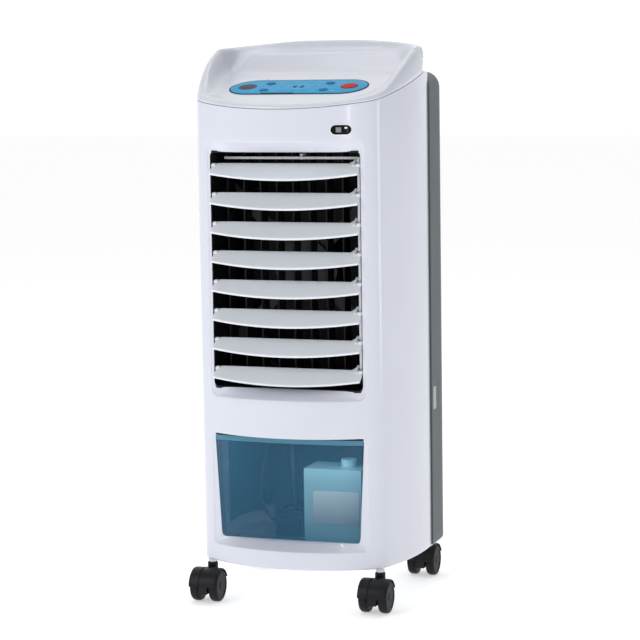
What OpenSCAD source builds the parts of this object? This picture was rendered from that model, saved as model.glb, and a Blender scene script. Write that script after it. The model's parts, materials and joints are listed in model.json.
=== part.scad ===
// Evaporative cooler: a slim tower on four casters with a water tank in its foot.
// +X is the right-hand side seen from the front, the front faces -Y, and Z is up.
// The origin is on the floor, in the middle of the footprint.

/* [Body] */
// Depth of the body, front to back
body_d = 270; // [262:1:280]
// Half width of the white front shell at its widest
shell_half = 139.5; // [136:0.5:141]
// Half width of the grey rear housing
rear_half = 141; // [140:0.5:143]
// Height of the rim of the top cap at the back
total_h = 700; // [694:1:706]
// Height of the underside of the body above the floor
body_z = 52; // [51:1:53]
// Thickness of the shell walls
wall = 2.5; // [2:0.1:3]
// Radius of the bowed front, in plan
front_r = 203; // [195:1:215]
// Radius of the bowed sides, in plan
side_r = 325; // [300:5:350]
// Radius of the front corners, in plan
corner_r = 32; // [26:1:36]
// Radius of the rear corners, in plan
rear_corner_r = 55; // [45:1:60]
// Radius of the rear corners of the top cap
cap_corner_r = 76; // [70:1:80]

/* [Louvres] */
// Number of horizontal louvres
louvre_count = 8; // [8:1:8]
// Distance between louvre pivots
louvre_pitch = 36; // [35:0.5:36]
// Height of the top louvre's pivot
louvre_top_z = 548; // [546:1:549]
// Reach of a louvre blade in front of its pivot, in the middle
blade_mid = 28; // [26:1:29]
// Reach of a louvre blade in front of its pivot, at its ends
blade_end = 17; // [12:1:18]
// Reach of a louvre blade behind its pivot
blade_back = 4; // [3:0.5:4]
// Downward tilt of the louvres at rest, degrees
louvre_tilt = 37; // [35:1:38]
// Number of upright vanes behind the louvres
vane_count = 9; // [9:1:9]
// Depth of an upright vane
vane_d = 24; // [20:1:26]

/* [Water tank] */
// Half width of the tank
tank_half = 97; // [94:1:98]
// Height of the tank's floor
tank_z = 58; // [57:1:60]
// Height of the tank's rim
tank_top = 223; // [221:1:224]
// Distance the tank pulls out at the back
tank_travel = 200; // [150:10:240]

/* [Fan] */
// Radius of the fan wheel
fan_r = 88; // [80:1:90]
// Number of blades on the fan wheel
fan_blades = 12; // [8:1:16]

/* [Casters] */
// Radius of a caster wheel
wheel_r = 20; // [20:1:20]
// Distance from the caster's stem to its axle
caster_trail = 17; // [14:1:18]
// Distance of the stems from the middle of the body
stem_x = 111; // [108:1:111]

/* [Hidden] */

white = [0.93, 0.94, 0.97];
grey = [0.36, 0.40, 0.41];
black = [0.06, 0.06, 0.07];
blue = [0.25, 0.50, 0.66];

eps = 0.01;
front_y = -body_d / 2;
rear_y = body_d / 2;

// ---- plan outline -------------------------------------------------------

side_y = 20;                                  // where the body is widest
seam_y = 40;                                  // rear edge of the front shell
front_c = [0, front_y + front_r];             // centre of the front arc
side_c = [shell_half - side_r, side_y];       // centre of the right side arc
arc_n = 14;

// The meeting point of two circles that lies to the front
function meet(c1, r1, c2, r2) =
    let (d = norm(c2 - c1), u = (c2 - c1) / d,
         a = (r1 * r1 - r2 * r2 + d * d) / (2 * d),
         h = sqrt(r1 * r1 - a * a))
    c1 + a * u + h * [-u[1], u[0]];
corner_c = meet(front_c, front_r - corner_r, side_c, side_r - corner_r);
function heading(from, to) = atan2(to[1] - from[1], to[0] - from[0]);
corner_a0 = heading(front_c, corner_c);
corner_a1 = heading(side_c, corner_c);
seam_a = asin((seam_y - side_y) / side_r);
function arc(c, r, a0, a1, n) =
    [for (i = [0 : n]) c + r * [cos(a0 + (a1 - a0) * i / n), sin(a0 + (a1 - a0) * i / n)]];
function mirrored(pts) =
    concat(pts, [for (i = [len(pts) - 1 : -1 : 0]) if (pts[i][0] > eps) [-pts[i][0], pts[i][1]]]);
function front_points(t, last_a) = concat(
    arc(front_c, front_r - t, -90, corner_a0, arc_n),
    arc(corner_c, corner_r - t, corner_a0, corner_a1, 8),
    arc(side_c, side_r - t, corner_a1, last_a, arc_n));

// Front shell: open at the seam, t is the inset from the outer face
module front_outline(t) {
    polygon(mirrored(front_points(t, seam_a)));
}

// Rear housing, from the seam to the rounded rear corners
rear_c = [rear_half - rear_corner_r, rear_y - rear_corner_r];
module rear_outline(t, from_y) {
    polygon(mirrored(concat([[rear_half - t, from_y]],
        arc(rear_c, rear_corner_r - t, 0, 90, 12))));
}

// Top cap: the front outline with large rear corners
cap_c = [shell_half - cap_corner_r, 12];
cap_a = asin((cap_c[1] - side_y) / side_r);
module cap_outline(t) {
    polygon(mirrored(concat(front_points(t, cap_a), arc(cap_c, cap_corner_r - t, 0, 90, 14))));
}

// Whole body, front and rear together; the rear part steps in where it meets the front shell
module body_outline(t) {
    front_outline(t);
    rear_outline(t + 2.2, seam_y - 1);
    rear_outline(t, seam_y + 0.3);
}

// ---- heights of the sloping top ----------------------------------------

slope = 0.26;                                 // rise of the control panel per mm
panel_tilt = atan(slope);
seam_z0 = 617;                                // seam height at the front
floor_rise = 3;                               // panel floor above the seam
shoulder_z = 658;                             // top of the grey housing
neck_z = 676;                                 // underside of the rear rim
function seam_z(y) = seam_z0 + slope * (y - front_y);
flat_y = front_y + (shoulder_z - seam_z0) / slope;

// A profile in Y and Z made into a slab right across the body
module across(points, half = 150) {
    translate([-half, 0, 0])
        rotate([90, 0, 90])
        linear_extrude(2 * half) polygon(points);
}

// ---- shells ---------------------------------------------------------------

opening_half = 101;                           // louvre opening in the shell
opening_z = [263, 577];
duct_half = 97;                               // inner width of the louvre duct
duct_z = [274.5, 564];
duct_y = -111;                                // front edge of the duct
duct_back = -48;                              // rear edge of the duct
duct_wall = 2.5;
window_y = -107.5;                            // edge of the tank window
window_r = 588;                               // the window bulges a little
frame_back = -105;                            // rear face of the window frame
window_z = [84, 215];
window_half = [91, 97.6];                     // at its foot and at its head
recess_half = 101.5;                          // bevelled frame round the window
recess_z0 = 75;
surround_half = 104;                          // solid frame round both openings

// Rounded rectangle in X and Z, as a thin slab at y
module slab_xz(half_w, z0, z1, r, y) {
    for (sx = [-1, 1], z = [z0 + r, z1 - r])
        translate([sx * (half_w - r), y, z])
            rotate([90, 0, 0]) cylinder(r = r, h = eps, $fn = 32);
}

// Space cut by the louvre opening: wide in front, narrowing to the duct
module louvre_funnel() {
    hull() {
        slab_xz(opening_half, opening_z[0], opening_z[1], 9, front_y - 5);
        slab_xz(opening_half, opening_z[0], opening_z[1], 9, front_y + 6);
        slab_xz(duct_half, duct_z[0], duct_z[1], 3, duct_y + 1);
    }
    translate([-duct_half, duct_y, duct_z[0]]) cube([2 * duct_half, 8, duct_z[1] - duct_z[0]]);
}

// Space cut by the window: a bevelled recess down to a tapering opening
module window_funnel() {
    hull() {
        slab_xz(recess_half, recess_z0, window_z[1], 3, front_y - 5);
        translate([0, window_y, 0]) window_slab(0, eps);
    }
    translate([0, window_y + 8, 0]) window_slab(0, 9);
}

// Window outline, grown by g, h thick towards -Y
module window_slab(g, h) {
    rotate([90, 0, 0]) linear_extrude(h) polygon([
        [-window_half[0] - g, window_z[0] - g], [window_half[0] + g, window_z[0] - g],
        [window_half[1] + g, window_z[1] + g], [-window_half[1] - g, window_z[1] + g]]);
}

module shell_top_limit(z0) {
    across([[front_y - 5, z0], [seam_y + 5, z0], [seam_y + 5, shoulder_z],
        [flat_y, shoulder_z], [front_y - 5, seam_z(front_y - 5)]]);
}

sensor_c = [77, 592];                         // X and Z of the sensor window
sensor_size = [23, 11];

// A pill lying along X, h thick, standing on the XY plane
module pill(w, d, h) {
    for (s = [-1, 1]) translate([s * (w - d) / 2, 0, 0]) cylinder(d = d, h = h, $fn = 48);
    translate([-(w - d) / 2, -d / 2, 0]) cube([w - d, d, h]);
}

// Direction square to the bowed front at the sensor window
sensor_a = asin(sensor_c[0] / front_r);
module at_sensor(depth) {
    translate([0, front_c[1], sensor_c[1]])
        rotate([0, 0, sensor_a])
        translate([0, -front_r + depth, 0])
        rotate([90, 0, 0]) children();
}

// Inner face of the front shell, carried past the seam so that the back is open
module shell_hollow() {
    polygon(mirrored(concat(front_points(wall, seam_a), [[shell_half - wall, seam_y + 5]])));
}

// Solid material behind the bowed front, from z0 to z1, back to the plane y
module surround(z0, z1, y) {
    intersection() {
        translate([0, 0, z0]) linear_extrude(z1 - z0) front_outline(0);
        translate([-surround_half, front_y - 1, z0])
            cube([2 * surround_half, y - front_y + 1, z1 - z0]);
    }
}

module front_shell() {
    color(white) difference() {
        union() {
            intersection() {
                shell_top_limit(body_z);
                translate([0, 0, body_z]) linear_extrude(total_h - body_z) difference() {
                    front_outline(0);
                    shell_hollow();
                }
            }
            surround(opening_z[0] - 3, opening_z[1] + 3, duct_y);
            surround(recess_z0 - 3, window_z[1] + 2.5, frame_back);
        }
        louvre_funnel();
        window_funnel();
        at_sensor(6) pill(sensor_size[0], sensor_size[1], 12);
    }
}

rim_rise = [[0, 619], [30, 629], [62, 643], [88, 659], [115, 673], [145, 683],
    [185, 690], [223, total_h]];              // distance from the front, rim height

module cap_side_profile() {
    across(concat(
        [for (p = rim_rise) [front_y + p[0] - (p[0] == 0 ? 1 : 0), p[1]]],
        [[rear_y, total_h], [rear_y, neck_z], [side_y, neck_z],
         [side_y, seam_z(side_y) + 0.3], [front_y - 1, seam_z(front_y - 1) + 0.3]]));
}

tray_inset = 9;
ramp_y = 20;                                  // where the tray floor turns up
module tray_space(drop) {
    floor0 = seam_z0 + floor_rise - drop;
    across([[front_y, floor0], [ramp_y + drop, floor0 + slope * (ramp_y + drop - front_y)],
        [ramp_y + drop + 22, neck_z - drop - 3], [ramp_y + drop + 44, total_h - drop],
        [ramp_y + drop + 44, total_h + 30], [front_y, total_h + 30]]);
}

module top_cap() {
    color(white) difference() {
        intersection() {
            translate([0, 0, 610]) linear_extrude(120) cap_outline(0);
            cap_side_profile();
            translate([0, 0, total_h - 1000])
                rotate([-90, 0, 0]) cylinder(r = 1000, h = 400, center = true, $fn = 96);
        }
        intersection() {
            translate([0, 0, 600]) linear_extrude(140) cap_outline(tray_inset);
            tray_space(0);
        }
        difference() {
            translate([0, 0, 600]) linear_extrude(98) cap_outline(3);
            tray_space(3);
            cap_rim_solid();
        }
        for (b = BUTTONS) at_panel(b[0]) translate([0, 0, -9]) cylinder(r = b[1] + 0.4, h = 12, $fn = 48);
    }
}

// The rim stays solid above this, so that it is stiff enough to lift by
module cap_rim_solid() {
    translate([-150, front_y - 1, total_h - 6]) cube([300, body_d, 20]);
    difference() {
        translate([-150, front_y - 1, 600]) cube([300, body_d, 140]);
        translate([0, 0, 599]) linear_extrude(142) cap_outline(3);
    }
    across([[front_y - 1, 650], for (p = rim_rise) [front_y + p[0], p[1] - 4],
        [rear_y, total_h - 6], [rear_y, total_h + 20], [front_y - 1, total_h + 20]]);
}

// ---- control panel ---------------------------------------------------------

panel_c = [0, front_y + 84];                  // middle of the overlay, in plan
panel_h = seam_z0 + floor_rise + slope * (panel_c[1] - front_y);
panel_len = 180;
panel_d = 63;
// Place on the panel [x, up the slope] and cap radius of each button
BUTTONS = [[[66, 0], 11], [[-41, 14], 5.5], [[-41, -15], 5.5], [[37, 14], 5.5], [[37, -15], 5.5]];
module at_panel(p) {
    translate([panel_c[0], panel_c[1], panel_h])
        rotate([panel_tilt, 0, 0])
        translate([p[0], p[1], 0]) children();
}

module control_overlay() {
    color([0.18, 0.68, 0.86]) difference() {
        at_panel([0, 0]) pill(panel_len, panel_d, 0.8);
        for (b = BUTTONS) at_panel(b[0]) translate([0, 0, -1]) cylinder(r = b[1] + 0.4, h = 4, $fn = 48);
    }
}

module button(i, tint) {
    r = BUTTONS[i][1];
    color(tint) at_panel(BUTTONS[i][0]) {
        translate([0, 0, -4]) cylinder(r = r, h = 5.8, $fn = 48);
        translate([0, 0, -4.8]) cylinder(r = r + 1.5, h = 0.9, $fn = 48);
        translate([0, 0, -7]) cylinder(r = 2, h = 2.5, $fn = 32);
    }
}

module control_board() {
    color([0.1, 0.4, 0.2]) at_panel([0, 0]) translate([-88, -28, -10]) cube([176, 56, 1.6]);
    color(black) at_panel([0, 0]) {
        for (b = BUTTONS)
            translate([b[0][0] - 3, b[0][1] - 3, -8.5]) cube([6, 6, 0.4]);
        translate([-10, -6, -8.5]) cube([20, 12, 2]);
    }
}

module sensor_window() {
    color(black) at_sensor(3.5) pill(sensor_size[0] - 0.6, sensor_size[1] - 0.6, 3);
}

// ---- louvres -----------------------------------------------------------------

pivot_y = -103.5;                             // louvre pivots
pin_r = 2;
run_fit = 0.05;                               // radial clearance of a running pin
blade_half = 95.5;
blade_t = 2.2;
roll_r = 2.6;                                 // round rib along the pivot line
arm_x = 86;                                   // ear that carries the link
arm_t = 2.6;
arm_len = 10;                                 // pivot to link pin
arm_a = -56;                                  // the ear points back and up
link_x = 90;
link_t = 3;
link_w = 4.8;
link_pin_r = 1.5;
loose_fit = 0.35;                             // clearance of the opened linkages
function louvre_z(i) = louvre_top_z - louvre_pitch * i;
// Radius of the curved front edge, from its rise over the half width
edge_rise = blade_mid - blade_end;
edge_r = (blade_half * blade_half + edge_rise * edge_rise) / (2 * edge_rise);

// Blade in plan, straight back edge, bowed front edge towards -Y
module blade_plan() {
    intersection() {
        translate([-blade_half, -blade_mid - 1]) square([2 * blade_half, blade_mid + 1 + blade_back]);
        translate([0, edge_r - blade_mid]) circle(r = edge_r, $fn = 180);
    }
}

// Turns the louvre's own frame by its tilt about the pivot
module at_louvre(i) {
    translate([0, pivot_y, louvre_z(i)]) rotate([louvre_tilt, 0, 0]) children();
}

module louvre(i) {
    color(white) {
        at_louvre(i) {
            translate([0, 0, -blade_t / 2]) linear_extrude(blade_t) blade_plan();
            // round rib that carries the pins
            rotate([0, 90, 0]) cylinder(r = roll_r, h = 2 * blade_half, center = true, $fn = 32);
            rotate([0, 90, 0]) cylinder(r = pin_r, h = 2 * (duct_half + duct_wall) - 1,
                center = true, $fn = 32);
        }
        // ear and pin for the link, up and back from the pivot
        translate([0, pivot_y, louvre_z(i)]) rotate([arm_a, 0, 0]) {
            translate([arm_x, -2.5, 0]) cube([arm_t, 5, arm_len]);
            translate([arm_x, 0, arm_len]) rotate([0, 90, 0]) cylinder(r = 2.5, h = arm_t, $fn = 32);
            translate([arm_x, 0, arm_len]) rotate([0, 90, 0])
                cylinder(r = link_pin_r, h = link_x + link_t + 0.6 - arm_x, $fn = 32);
        }
    }
}

module louvre_link() {
    reach = louvre_pitch * (louvre_count - 1);
    back = -arm_len * sin(arm_a);
    rise = arm_len * cos(arm_a);
    color(white) difference() {
        translate([link_x, pivot_y + back, louvre_z(louvre_count - 1) + rise]) {
            translate([0, -link_w / 2, -3]) cube([link_t, link_w, reach + 6]);
            for (i = [0 : louvre_count - 1]) translate([0, 0, i * louvre_pitch])
                rotate([0, 90, 0]) cylinder(r = 3.2, h = link_t, $fn = 32);
        }
        for (i = [0 : louvre_count - 1])
            translate([link_x - 1, pivot_y + back, louvre_z(i) + rise])
                rotate([0, 90, 0])
                cylinder(r = link_pin_r + (i == 0 ? run_fit : loose_fit), h = link_t + 2, $fn = 32);
    }
}

// ---- upright vanes -----------------------------------------------------------

vane_pitch = 21.5;
vane_y = -66;                                 // vane pivots
vane_z = [duct_z[0] + 1.5, duct_z[1] - 1.5];
vane_arm = 9;                                 // pivot to link pin
vane_pin_r = 1.2;
vane_link_z = duct_z[1] - 8;
function vane_x(i) = (i - (vane_count - 1) / 2) * vane_pitch;

module vane(i) {
    color(black) translate([vane_x(i), vane_y, 0]) {
        difference() {
            translate([-0.9, -vane_d / 2, vane_z[0]]) cube([1.8, vane_d, vane_z[1] - vane_z[0]]);
            // notch that the link bar runs through
            translate([-2, -vane_d / 2 - 1, vane_link_z - 3.2]) cube([4, 9, 6.4]);
        }
        translate([0, 0, vane_z[0] - 3.5]) cylinder(r = pin_r, h = 6, $fn = 32);
        translate([0, 0, vane_z[1] - 2.5]) cylinder(r = pin_r, h = 6, $fn = 32);
        // link pin in the notch
        translate([0, -vane_arm, vane_link_z - 3.3]) cylinder(r = vane_pin_r, h = 6.6, $fn = 32);
    }
}

module vane_link() {
    color(white) difference() {
        translate([vane_x(0) - 4, vane_y - vane_arm - 2.6, vane_link_z - 1.5])
            cube([vane_x(vane_count - 1) - vane_x(0) + 8, 5.2, 3]);
        for (i = [0 : vane_count - 1]) translate([vane_x(i), vane_y - vane_arm, vane_link_z - 3])
            cylinder(r = vane_pin_r + (i == 0 ? run_fit : loose_fit), h = 6, $fn = 32);
        translate([crank_x, vane_y - vane_arm, vane_link_z - 3])
            cylinder(r = vane_pin_r + loose_fit, h = 6, $fn = 32);
    }
}

// Black duct behind the louvres: carries the pins of louvres and vanes
module louvre_frame() {
    depth = duct_back - duct_y;
    color(black) difference() {
        intersection() {
            difference() {
                translate([-duct_half - duct_wall, duct_y, duct_z[0] - duct_wall])
                    cube([2 * (duct_half + duct_wall), depth, duct_z[1] - duct_z[0] + 2 * duct_wall]);
                translate([-duct_half, duct_y - 1, duct_z[0]])
                    cube([2 * duct_half, depth + 2, duct_z[1] - duct_z[0]]);
            }
            translate([0, 0, 200]) linear_extrude(400) front_outline(wall + 0.1);
        }
        for (i = [0 : louvre_count - 1]) translate([0, pivot_y, louvre_z(i)])
            rotate([0, 90, 0])
            cylinder(r = pin_r + run_fit, h = 2 * duct_half + 20, center = true, $fn = 32);
        for (i = [0 : vane_count - 1]) translate([vane_x(i), vane_y, duct_z[0] - 10])
            cylinder(r = pin_r + run_fit, h = duct_z[1] - duct_z[0] + 20, $fn = 32);
        translate([crank_x, vane_y, duct_z[1] - 2])
            cylinder(r = pin_r + run_fit, h = 10, $fn = 32);
    }
}

// ---- swing drive ----------------------------------------------------------------

crank_x = vane_pitch / 2;                     // midway between two vanes
crank_z = vane_link_z + 2.6;

module swing_motor() {
    base = duct_z[1] + duct_wall;
    color([0.75, 0.76, 0.78]) difference() {
        translate([crank_x, vane_y, base]) {
            cylinder(r = 14, h = 16, $fn = 64);
            translate([-22, -4, 0]) cube([44, 8, 1.5]);
            translate([-7, 12, 4]) cube([14, 6, 10]);
        }
        translate([crank_x, vane_y, base - 1]) cylinder(r = pin_r + run_fit, h = 11, $fn = 32);
    }
}

module swing_crank() {
    color(white) translate([crank_x, vane_y, 0]) {
        translate([0, 0, crank_z]) cylinder(r = 3, h = 2.4, $fn = 32);
        translate([0, 0, crank_z]) cylinder(r = pin_r, h = duct_z[1] + duct_wall + 9 - crank_z, $fn = 32);
        translate([-2, -vane_arm, crank_z]) cube([4, vane_arm, 2.4]);
        translate([0, -vane_arm, crank_z]) cylinder(r = 2, h = 2.4, $fn = 32);
        translate([0, -vane_arm, vane_link_z - 2]) cylinder(r = vane_pin_r, h = 5, $fn = 32);
    }
}

// ---- fan ---------------------------------------------------------------------------

fan_z = (duct_z[0] + duct_z[1]) / 2;          // height of the fan's axis
plate_y = 70;                                 // front face of the fan plate
plate_t = 3;
plate_h = 402;                                // height of the plate over its shelf
inlet_r = 78;                                 // bore of the ring the fan draws through
inlet_wall = 3;
inlet_reach = 8;                              // how far the ring stands out to the fan
shaft_r = 4;
motor_y = [-34, 2];
shelf_z = 228;

// A cylinder along Y from y0 to y1
module rod_y(r, y0, y1, fn = 64) {
    translate([0, y1, 0]) rotate([90, 0, 0]) cylinder(r = r, h = y1 - y0, $fn = fn);
}

module fan_motor() {
    color([0.62, 0.63, 0.65]) translate([0, 0, fan_z]) difference() {
        union() {
            rod_y(42, motor_y[0], motor_y[1], 96);
            rod_y(34, motor_y[0] - 6, motor_y[0] + 1);
            rod_y(9, motor_y[1] - 1, motor_y[1] + 3);
            for (a = [45, 135]) rotate([0, a, 0])
                translate([-138, motor_y[0] + 1, -7]) cube([276, 3, 14]);
            for (sx = [-1, 1], sz = [-1, 1]) translate([sx * 93, 0, sz * 93])
                rod_y(4, motor_y[0] + 2, plate_y, 32);
        }
        rod_y(shaft_r + run_fit, motor_y[0] + 6, motor_y[1] + 4, 48);
    }
}

module fan_wheel() {
    color([0.85, 0.86, 0.88]) translate([0, 0, fan_z]) {
        rod_y(shaft_r, motor_y[0] + 8, 34, 48);
        rod_y(13, 7, 30);
        rod_y(fan_r, 8, 10, 96);
        difference() {
            rod_y(fan_r, 56, 59, 96);
            rod_y(fan_r - 16, 55, 60, 96);
        }
        for (i = [0 : fan_blades - 1]) rotate([0, i * 360 / fan_blades, 0])
            translate([48, 9, 0]) rotate([0, -38, 0]) cube([42, 48, 1.8]);
    }
}

// Bulkhead between pad and fan with its inlet ring, and the shelf over the tank
module fan_plate() {
    inset = wall + 0.4;
    color([0.80, 0.82, 0.85]) difference() {
        union() {
            intersection() {
                translate([0, 0, shelf_z]) linear_extrude(plate_h) rear_outline(inset, seam_y);
                translate([-150, plate_y, shelf_z]) cube([300, plate_t, plate_h]);
            }
            intersection() {
                translate([0, 0, shelf_z]) linear_extrude(plate_t) body_outline(inset);
                translate([-150, -108, shelf_z]) cube([300, 226, plate_t]);
            }
            translate([0, 0, fan_z])
                rod_y(inlet_r + inlet_wall, plate_y - inlet_reach, plate_y, 96);
        }
        translate([0, 0, fan_z]) rod_y(inlet_r, plate_y - inlet_reach - 1, plate_y + plate_t + 1, 96);
        translate([line_x[0], line_y, shelf_z - 1]) cylinder(r = 9, h = 6, $fn = 48);
        translate([line_x[1], line_y, shelf_z - 1]) cylinder(r = 5, h = 6, $fn = 48);
        // drain under the pad, and room for the grille clip
        translate([-60, 84, shelf_z - 1]) cube([120, 24, 6]);
        translate([rear_half - 8, clip_y[0] - 1, shelf_z - 1]) cube([10, clip_y[1] - clip_y[0] + 2, 5]);
    }
}

// ---- cooling pad and water ---------------------------------------------------------

pad_y = [79, 115];
pad_z = [236, 600];
pad_half = 100;

module cooling_pad() {
    color([0.72, 0.62, 0.42])
        translate([-pad_half, pad_y[0], pad_z[0]])
        cube([2 * pad_half, pad_y[1] - pad_y[0], pad_z[1] - pad_z[0]]);
}

module drip_tray() {
    color([0.80, 0.82, 0.85]) difference() {
        translate([-pad_half - 2, pad_y[0] - 2, pad_z[1] + 1])
            cube([2 * pad_half + 4, pad_y[1] - pad_y[0] + 4, 16]);
        translate([-pad_half, pad_y[0], pad_z[1] + 3])
            cube([2 * pad_half, pad_y[1] - pad_y[0], 20]);
        for (i = [-9 : 9]) translate([i * 10, (pad_y[0] + pad_y[1]) / 2, pad_z[1]])
            cylinder(r = 1.5, h = 5, $fn = 24);
    }
}

tank_wall = 2.5;
tank_y = [-103.7, 118];
tank_gap = 0.8;                               // between the window and its frame

// The part of the tank that fills the window, t is the inset for its hollow
module tank_bow(t) {
    intersection() {
        translate([0, tank_y[0] + 5, 0]) window_slab(-tank_gap - t, 40);
        translate([0, window_y + window_r - bow_rise, 0]) cylinder(r = window_r - t, h = 300, $fn = 360);
    }
}
bow_rise = window_r - sqrt(window_r * window_r - window_half[1] * window_half[1]);

module water_tank() {
    color(blue, 0.6) difference() {
        union() {
            translate([-tank_half, tank_y[0], tank_z])
                cube([2 * tank_half, tank_y[1] - tank_y[0], tank_top - tank_z]);
            tank_bow(0);
        }
        translate([-tank_half + tank_wall, tank_y[0] + tank_wall, tank_z + tank_wall])
            cube([2 * (tank_half - tank_wall), tank_y[1] - tank_y[0] - 2 * tank_wall, tank_top]);
        tank_bow(tank_wall);
    }
}

hatch_half = 104;                             // tank opening in the rear housing
hatch_z = [body_z + 3, 227];
grip_z = [150, 186];
latch_z = 206;

module tank_panel() {
    gap = 0.5;
    color(grey) difference() {
        union() {
            intersection() {
                translate([0, 0, hatch_z[0] + gap])
                    linear_extrude(hatch_z[1] - hatch_z[0] - 2 * gap) difference() {
                        rear_outline(0, seam_y);
                        rear_outline(wall, seam_y - 1);
                    }
                translate([-hatch_half + gap, 90, 0]) cube([2 * (hatch_half - gap), 50, 400]);
            }
            // ribs that stand on the back of the tank, and the grip pocket
            for (x = [-80, 78]) translate([x, tank_y[1], 66]) cube([2, rear_y - 1 - tank_y[1], 150]);
            translate([-48, tank_y[1], grip_z[0] - 2])
                cube([96, rear_y - 1 - tank_y[1], grip_z[1] - grip_z[0] + 4]);
            translate([-16, tank_y[1], latch_z - 8]) cube([32, rear_y - 1 - tank_y[1], 16]);
        }
        translate([-46, tank_y[1] + 2, grip_z[0]]) cube([92, 40, grip_z[1] - grip_z[0]]);
        translate([-14.4, tank_y[1] + 4, latch_z - 6.4]) cube([28.8, 40, 12.8]);
    }
}

// Push latch in the tank panel
module tank_latch() {
    color([0.55, 0.58, 0.60]) {
        translate([-14, rear_y - 8, latch_z - 6]) cube([28, 7.6, 12]);
        for (z = [-3, 0, 3]) translate([-10, rear_y - 1, latch_z + z - 0.5]) cube([20, 1, 1]);
    }
}

pump_c = [-40, 20];
line_x = [-56, -74];                          // hose and cable, through the shelf
line_y = 60;

module pump() {
    z0 = tank_z + tank_wall;
    color([0.12, 0.16, 0.22]) {
        translate([pump_c[0] - 20, pump_c[1] - 18, z0]) cube([40, 36, 34]);
        translate([pump_c[0], pump_c[1], z0 + 30]) cylinder(r = 9, h = 10, $fn = 48);
        translate([pump_c[0], pump_c[1], z0 + 38]) cylinder(r = 4.5, h = 12, $fn = 32);
        translate([pump_c[0] - 14, pump_c[1] - 20, z0 + 6]) cube([28, 4, 20]);
    }
}

ice_box_c = [38, -30];
module ice_box() {
    z0 = tank_z + tank_wall;
    color([0.55, 0.75, 0.82], 0.8) {
        translate([ice_box_c[0] - 38, ice_box_c[1] - 25, z0]) cube([76, 50, 104]);
        translate([ice_box_c[0] + 14, ice_box_c[1], z0 + 100]) cylinder(r = 10, h = 14, $fn = 48);
    }
}

// ---- pump hose and cable: round tubes swept along a route ---------------------------

pump_top = tank_z + tank_wall + 50;
hose_route = [[pump_c[0], pump_c[1], pump_top + 0.6], [-40, 20, 122], [-41, 21, 138], [-44, 26, 160],
    [-49, 37, 185], [-54, 50, 205], [-56, 58, 222], [-56, 60, 240], [-60, 61, 262],
    [-104, 62, 300], [-116, 62.5, 350], [-118, 63, 450], [-118, 63, 560], [-116, 63, 610],
    [-110, 64, 632], [-104, 72, 643], [-96, 86, 643], [-92, 96, 632], [-92, 97, 612]];
cable_route = [[-61.2, 20, 80], [-67, 19, 79], [-76, 12, 92], [-82, 8, 120], [-80, 16, 155],
    [-76, 36, 190], [-74, 54, 212], [-74, 60, 228], [-76, 57, 243], [-80, 38, 251],
    [-90, 14, 260], [-106, 2, 286], [-120, -2, 330], [-124, -2, 420], [-122, -6, 540],
    [-108, -24, 592], [-84, -42, 616], [-80, -44, 631]];

// Points on a smooth curve through the route (Catmull-Rom), k steps a stretch
function pick(p, i) = p[max(0, min(len(p) - 1, i))];
function blend(a, b, c, d, t) = 0.5 * (2 * b + (c - a) * t + (2 * a - 5 * b + 4 * c - d) * t * t
    + (3 * b - a - 3 * c + d) * t * t * t);
function smooth(p, k) = [for (i = [0 : len(p) - 2], j = [0 : k - 1])
    blend(pick(p, i - 1), pick(p, i), pick(p, i + 1), pick(p, i + 2), j / k)];
function path(p, k) = concat(smooth(p, k), [p[len(p) - 1]]);
function unit(v) = v / norm(v);
function tangent(p, i) = unit(pick(p, i + 1) - pick(p, i - 1));
function ring(c, t, r, n) =
    let (u = unit(cross(t, [0.31, 0.9, 0.2])), v = cross(t, u))
    [for (k = [0 : n - 1]) c + r * (cos(360 * k / n) * u + sin(360 * k / n) * v)];

module tube(p, r, n) {
    m = len(p);
    polyhedron(
        points = [for (i = [0 : m - 1]) each ring(p[i], tangent(p, i), r, n)],
        faces = concat(
            [[for (k = [0 : n - 1]) k]],
            [for (i = [0 : m - 2], k = [0 : n - 1]) let (a = i * n + k, b = i * n + (k + 1) % n)
                each [[a, a + n, b], [b, a + n, b + n]]],
            [[for (k = [n - 1 : -1 : 0]) (m - 1) * n + k]]));
}

module pump_hose() {
    color([0.20, 0.25, 0.30]) tube(path(hose_route, 4), 5, 10);
}

module pump_cable() {
    color(black) tube(path(cable_route, 4), 1.8, 8);
}

// ---- rear ----------------------------------------------------------------------------

grille_half = 82;
grille_z = [240, 632];
clip_y = [47, 61];
clip_z = [228, 258];
gland_c = [-114, 90];                         // X and Z of the cord gland
gland_r = 6;
edge_round = 20;                              // rounded top edge of the housing

// Solid with a rounded top edge, for the housing
module housing_mass(t) {
    intersection() {
        translate([0, 0, body_z + 2]) linear_extrude(shoulder_z - body_z - 2 - t) rear_outline(t, seam_y);
        round_over(t);
        translate([0, rear_y / 2, 0]) rotate([0, 0, 90]) round_over_half(t);
    }
}

// Slabs whose top edges are rounded: one across X, one across Y
module round_over(t) {
    r = edge_round - t;
    translate([-150, 0, 0]) rotate([90, 0, 90]) linear_extrude(300) {
        translate([0, body_z]) square([rear_y - edge_round, shoulder_z - t - body_z]);
        translate([0, body_z]) square([rear_y - t, shoulder_z - edge_round - body_z]);
        translate([rear_y - edge_round, shoulder_z - edge_round]) circle(r = r, $fn = 64);
    }
}
module round_over_half(t) {
    r = edge_round - t;
    translate([-100, 0, 0]) rotate([90, 0, 90]) linear_extrude(300) {
        translate([-(rear_half - edge_round), body_z])
            square([2 * (rear_half - edge_round), shoulder_z - t - body_z]);
        translate([-(rear_half - t), body_z])
            square([2 * (rear_half - t), shoulder_z - edge_round - body_z]);
        for (s = [-1, 1]) translate([s * (rear_half - edge_round), shoulder_z - edge_round])
            circle(r = r, $fn = 64);
    }
}

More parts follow.
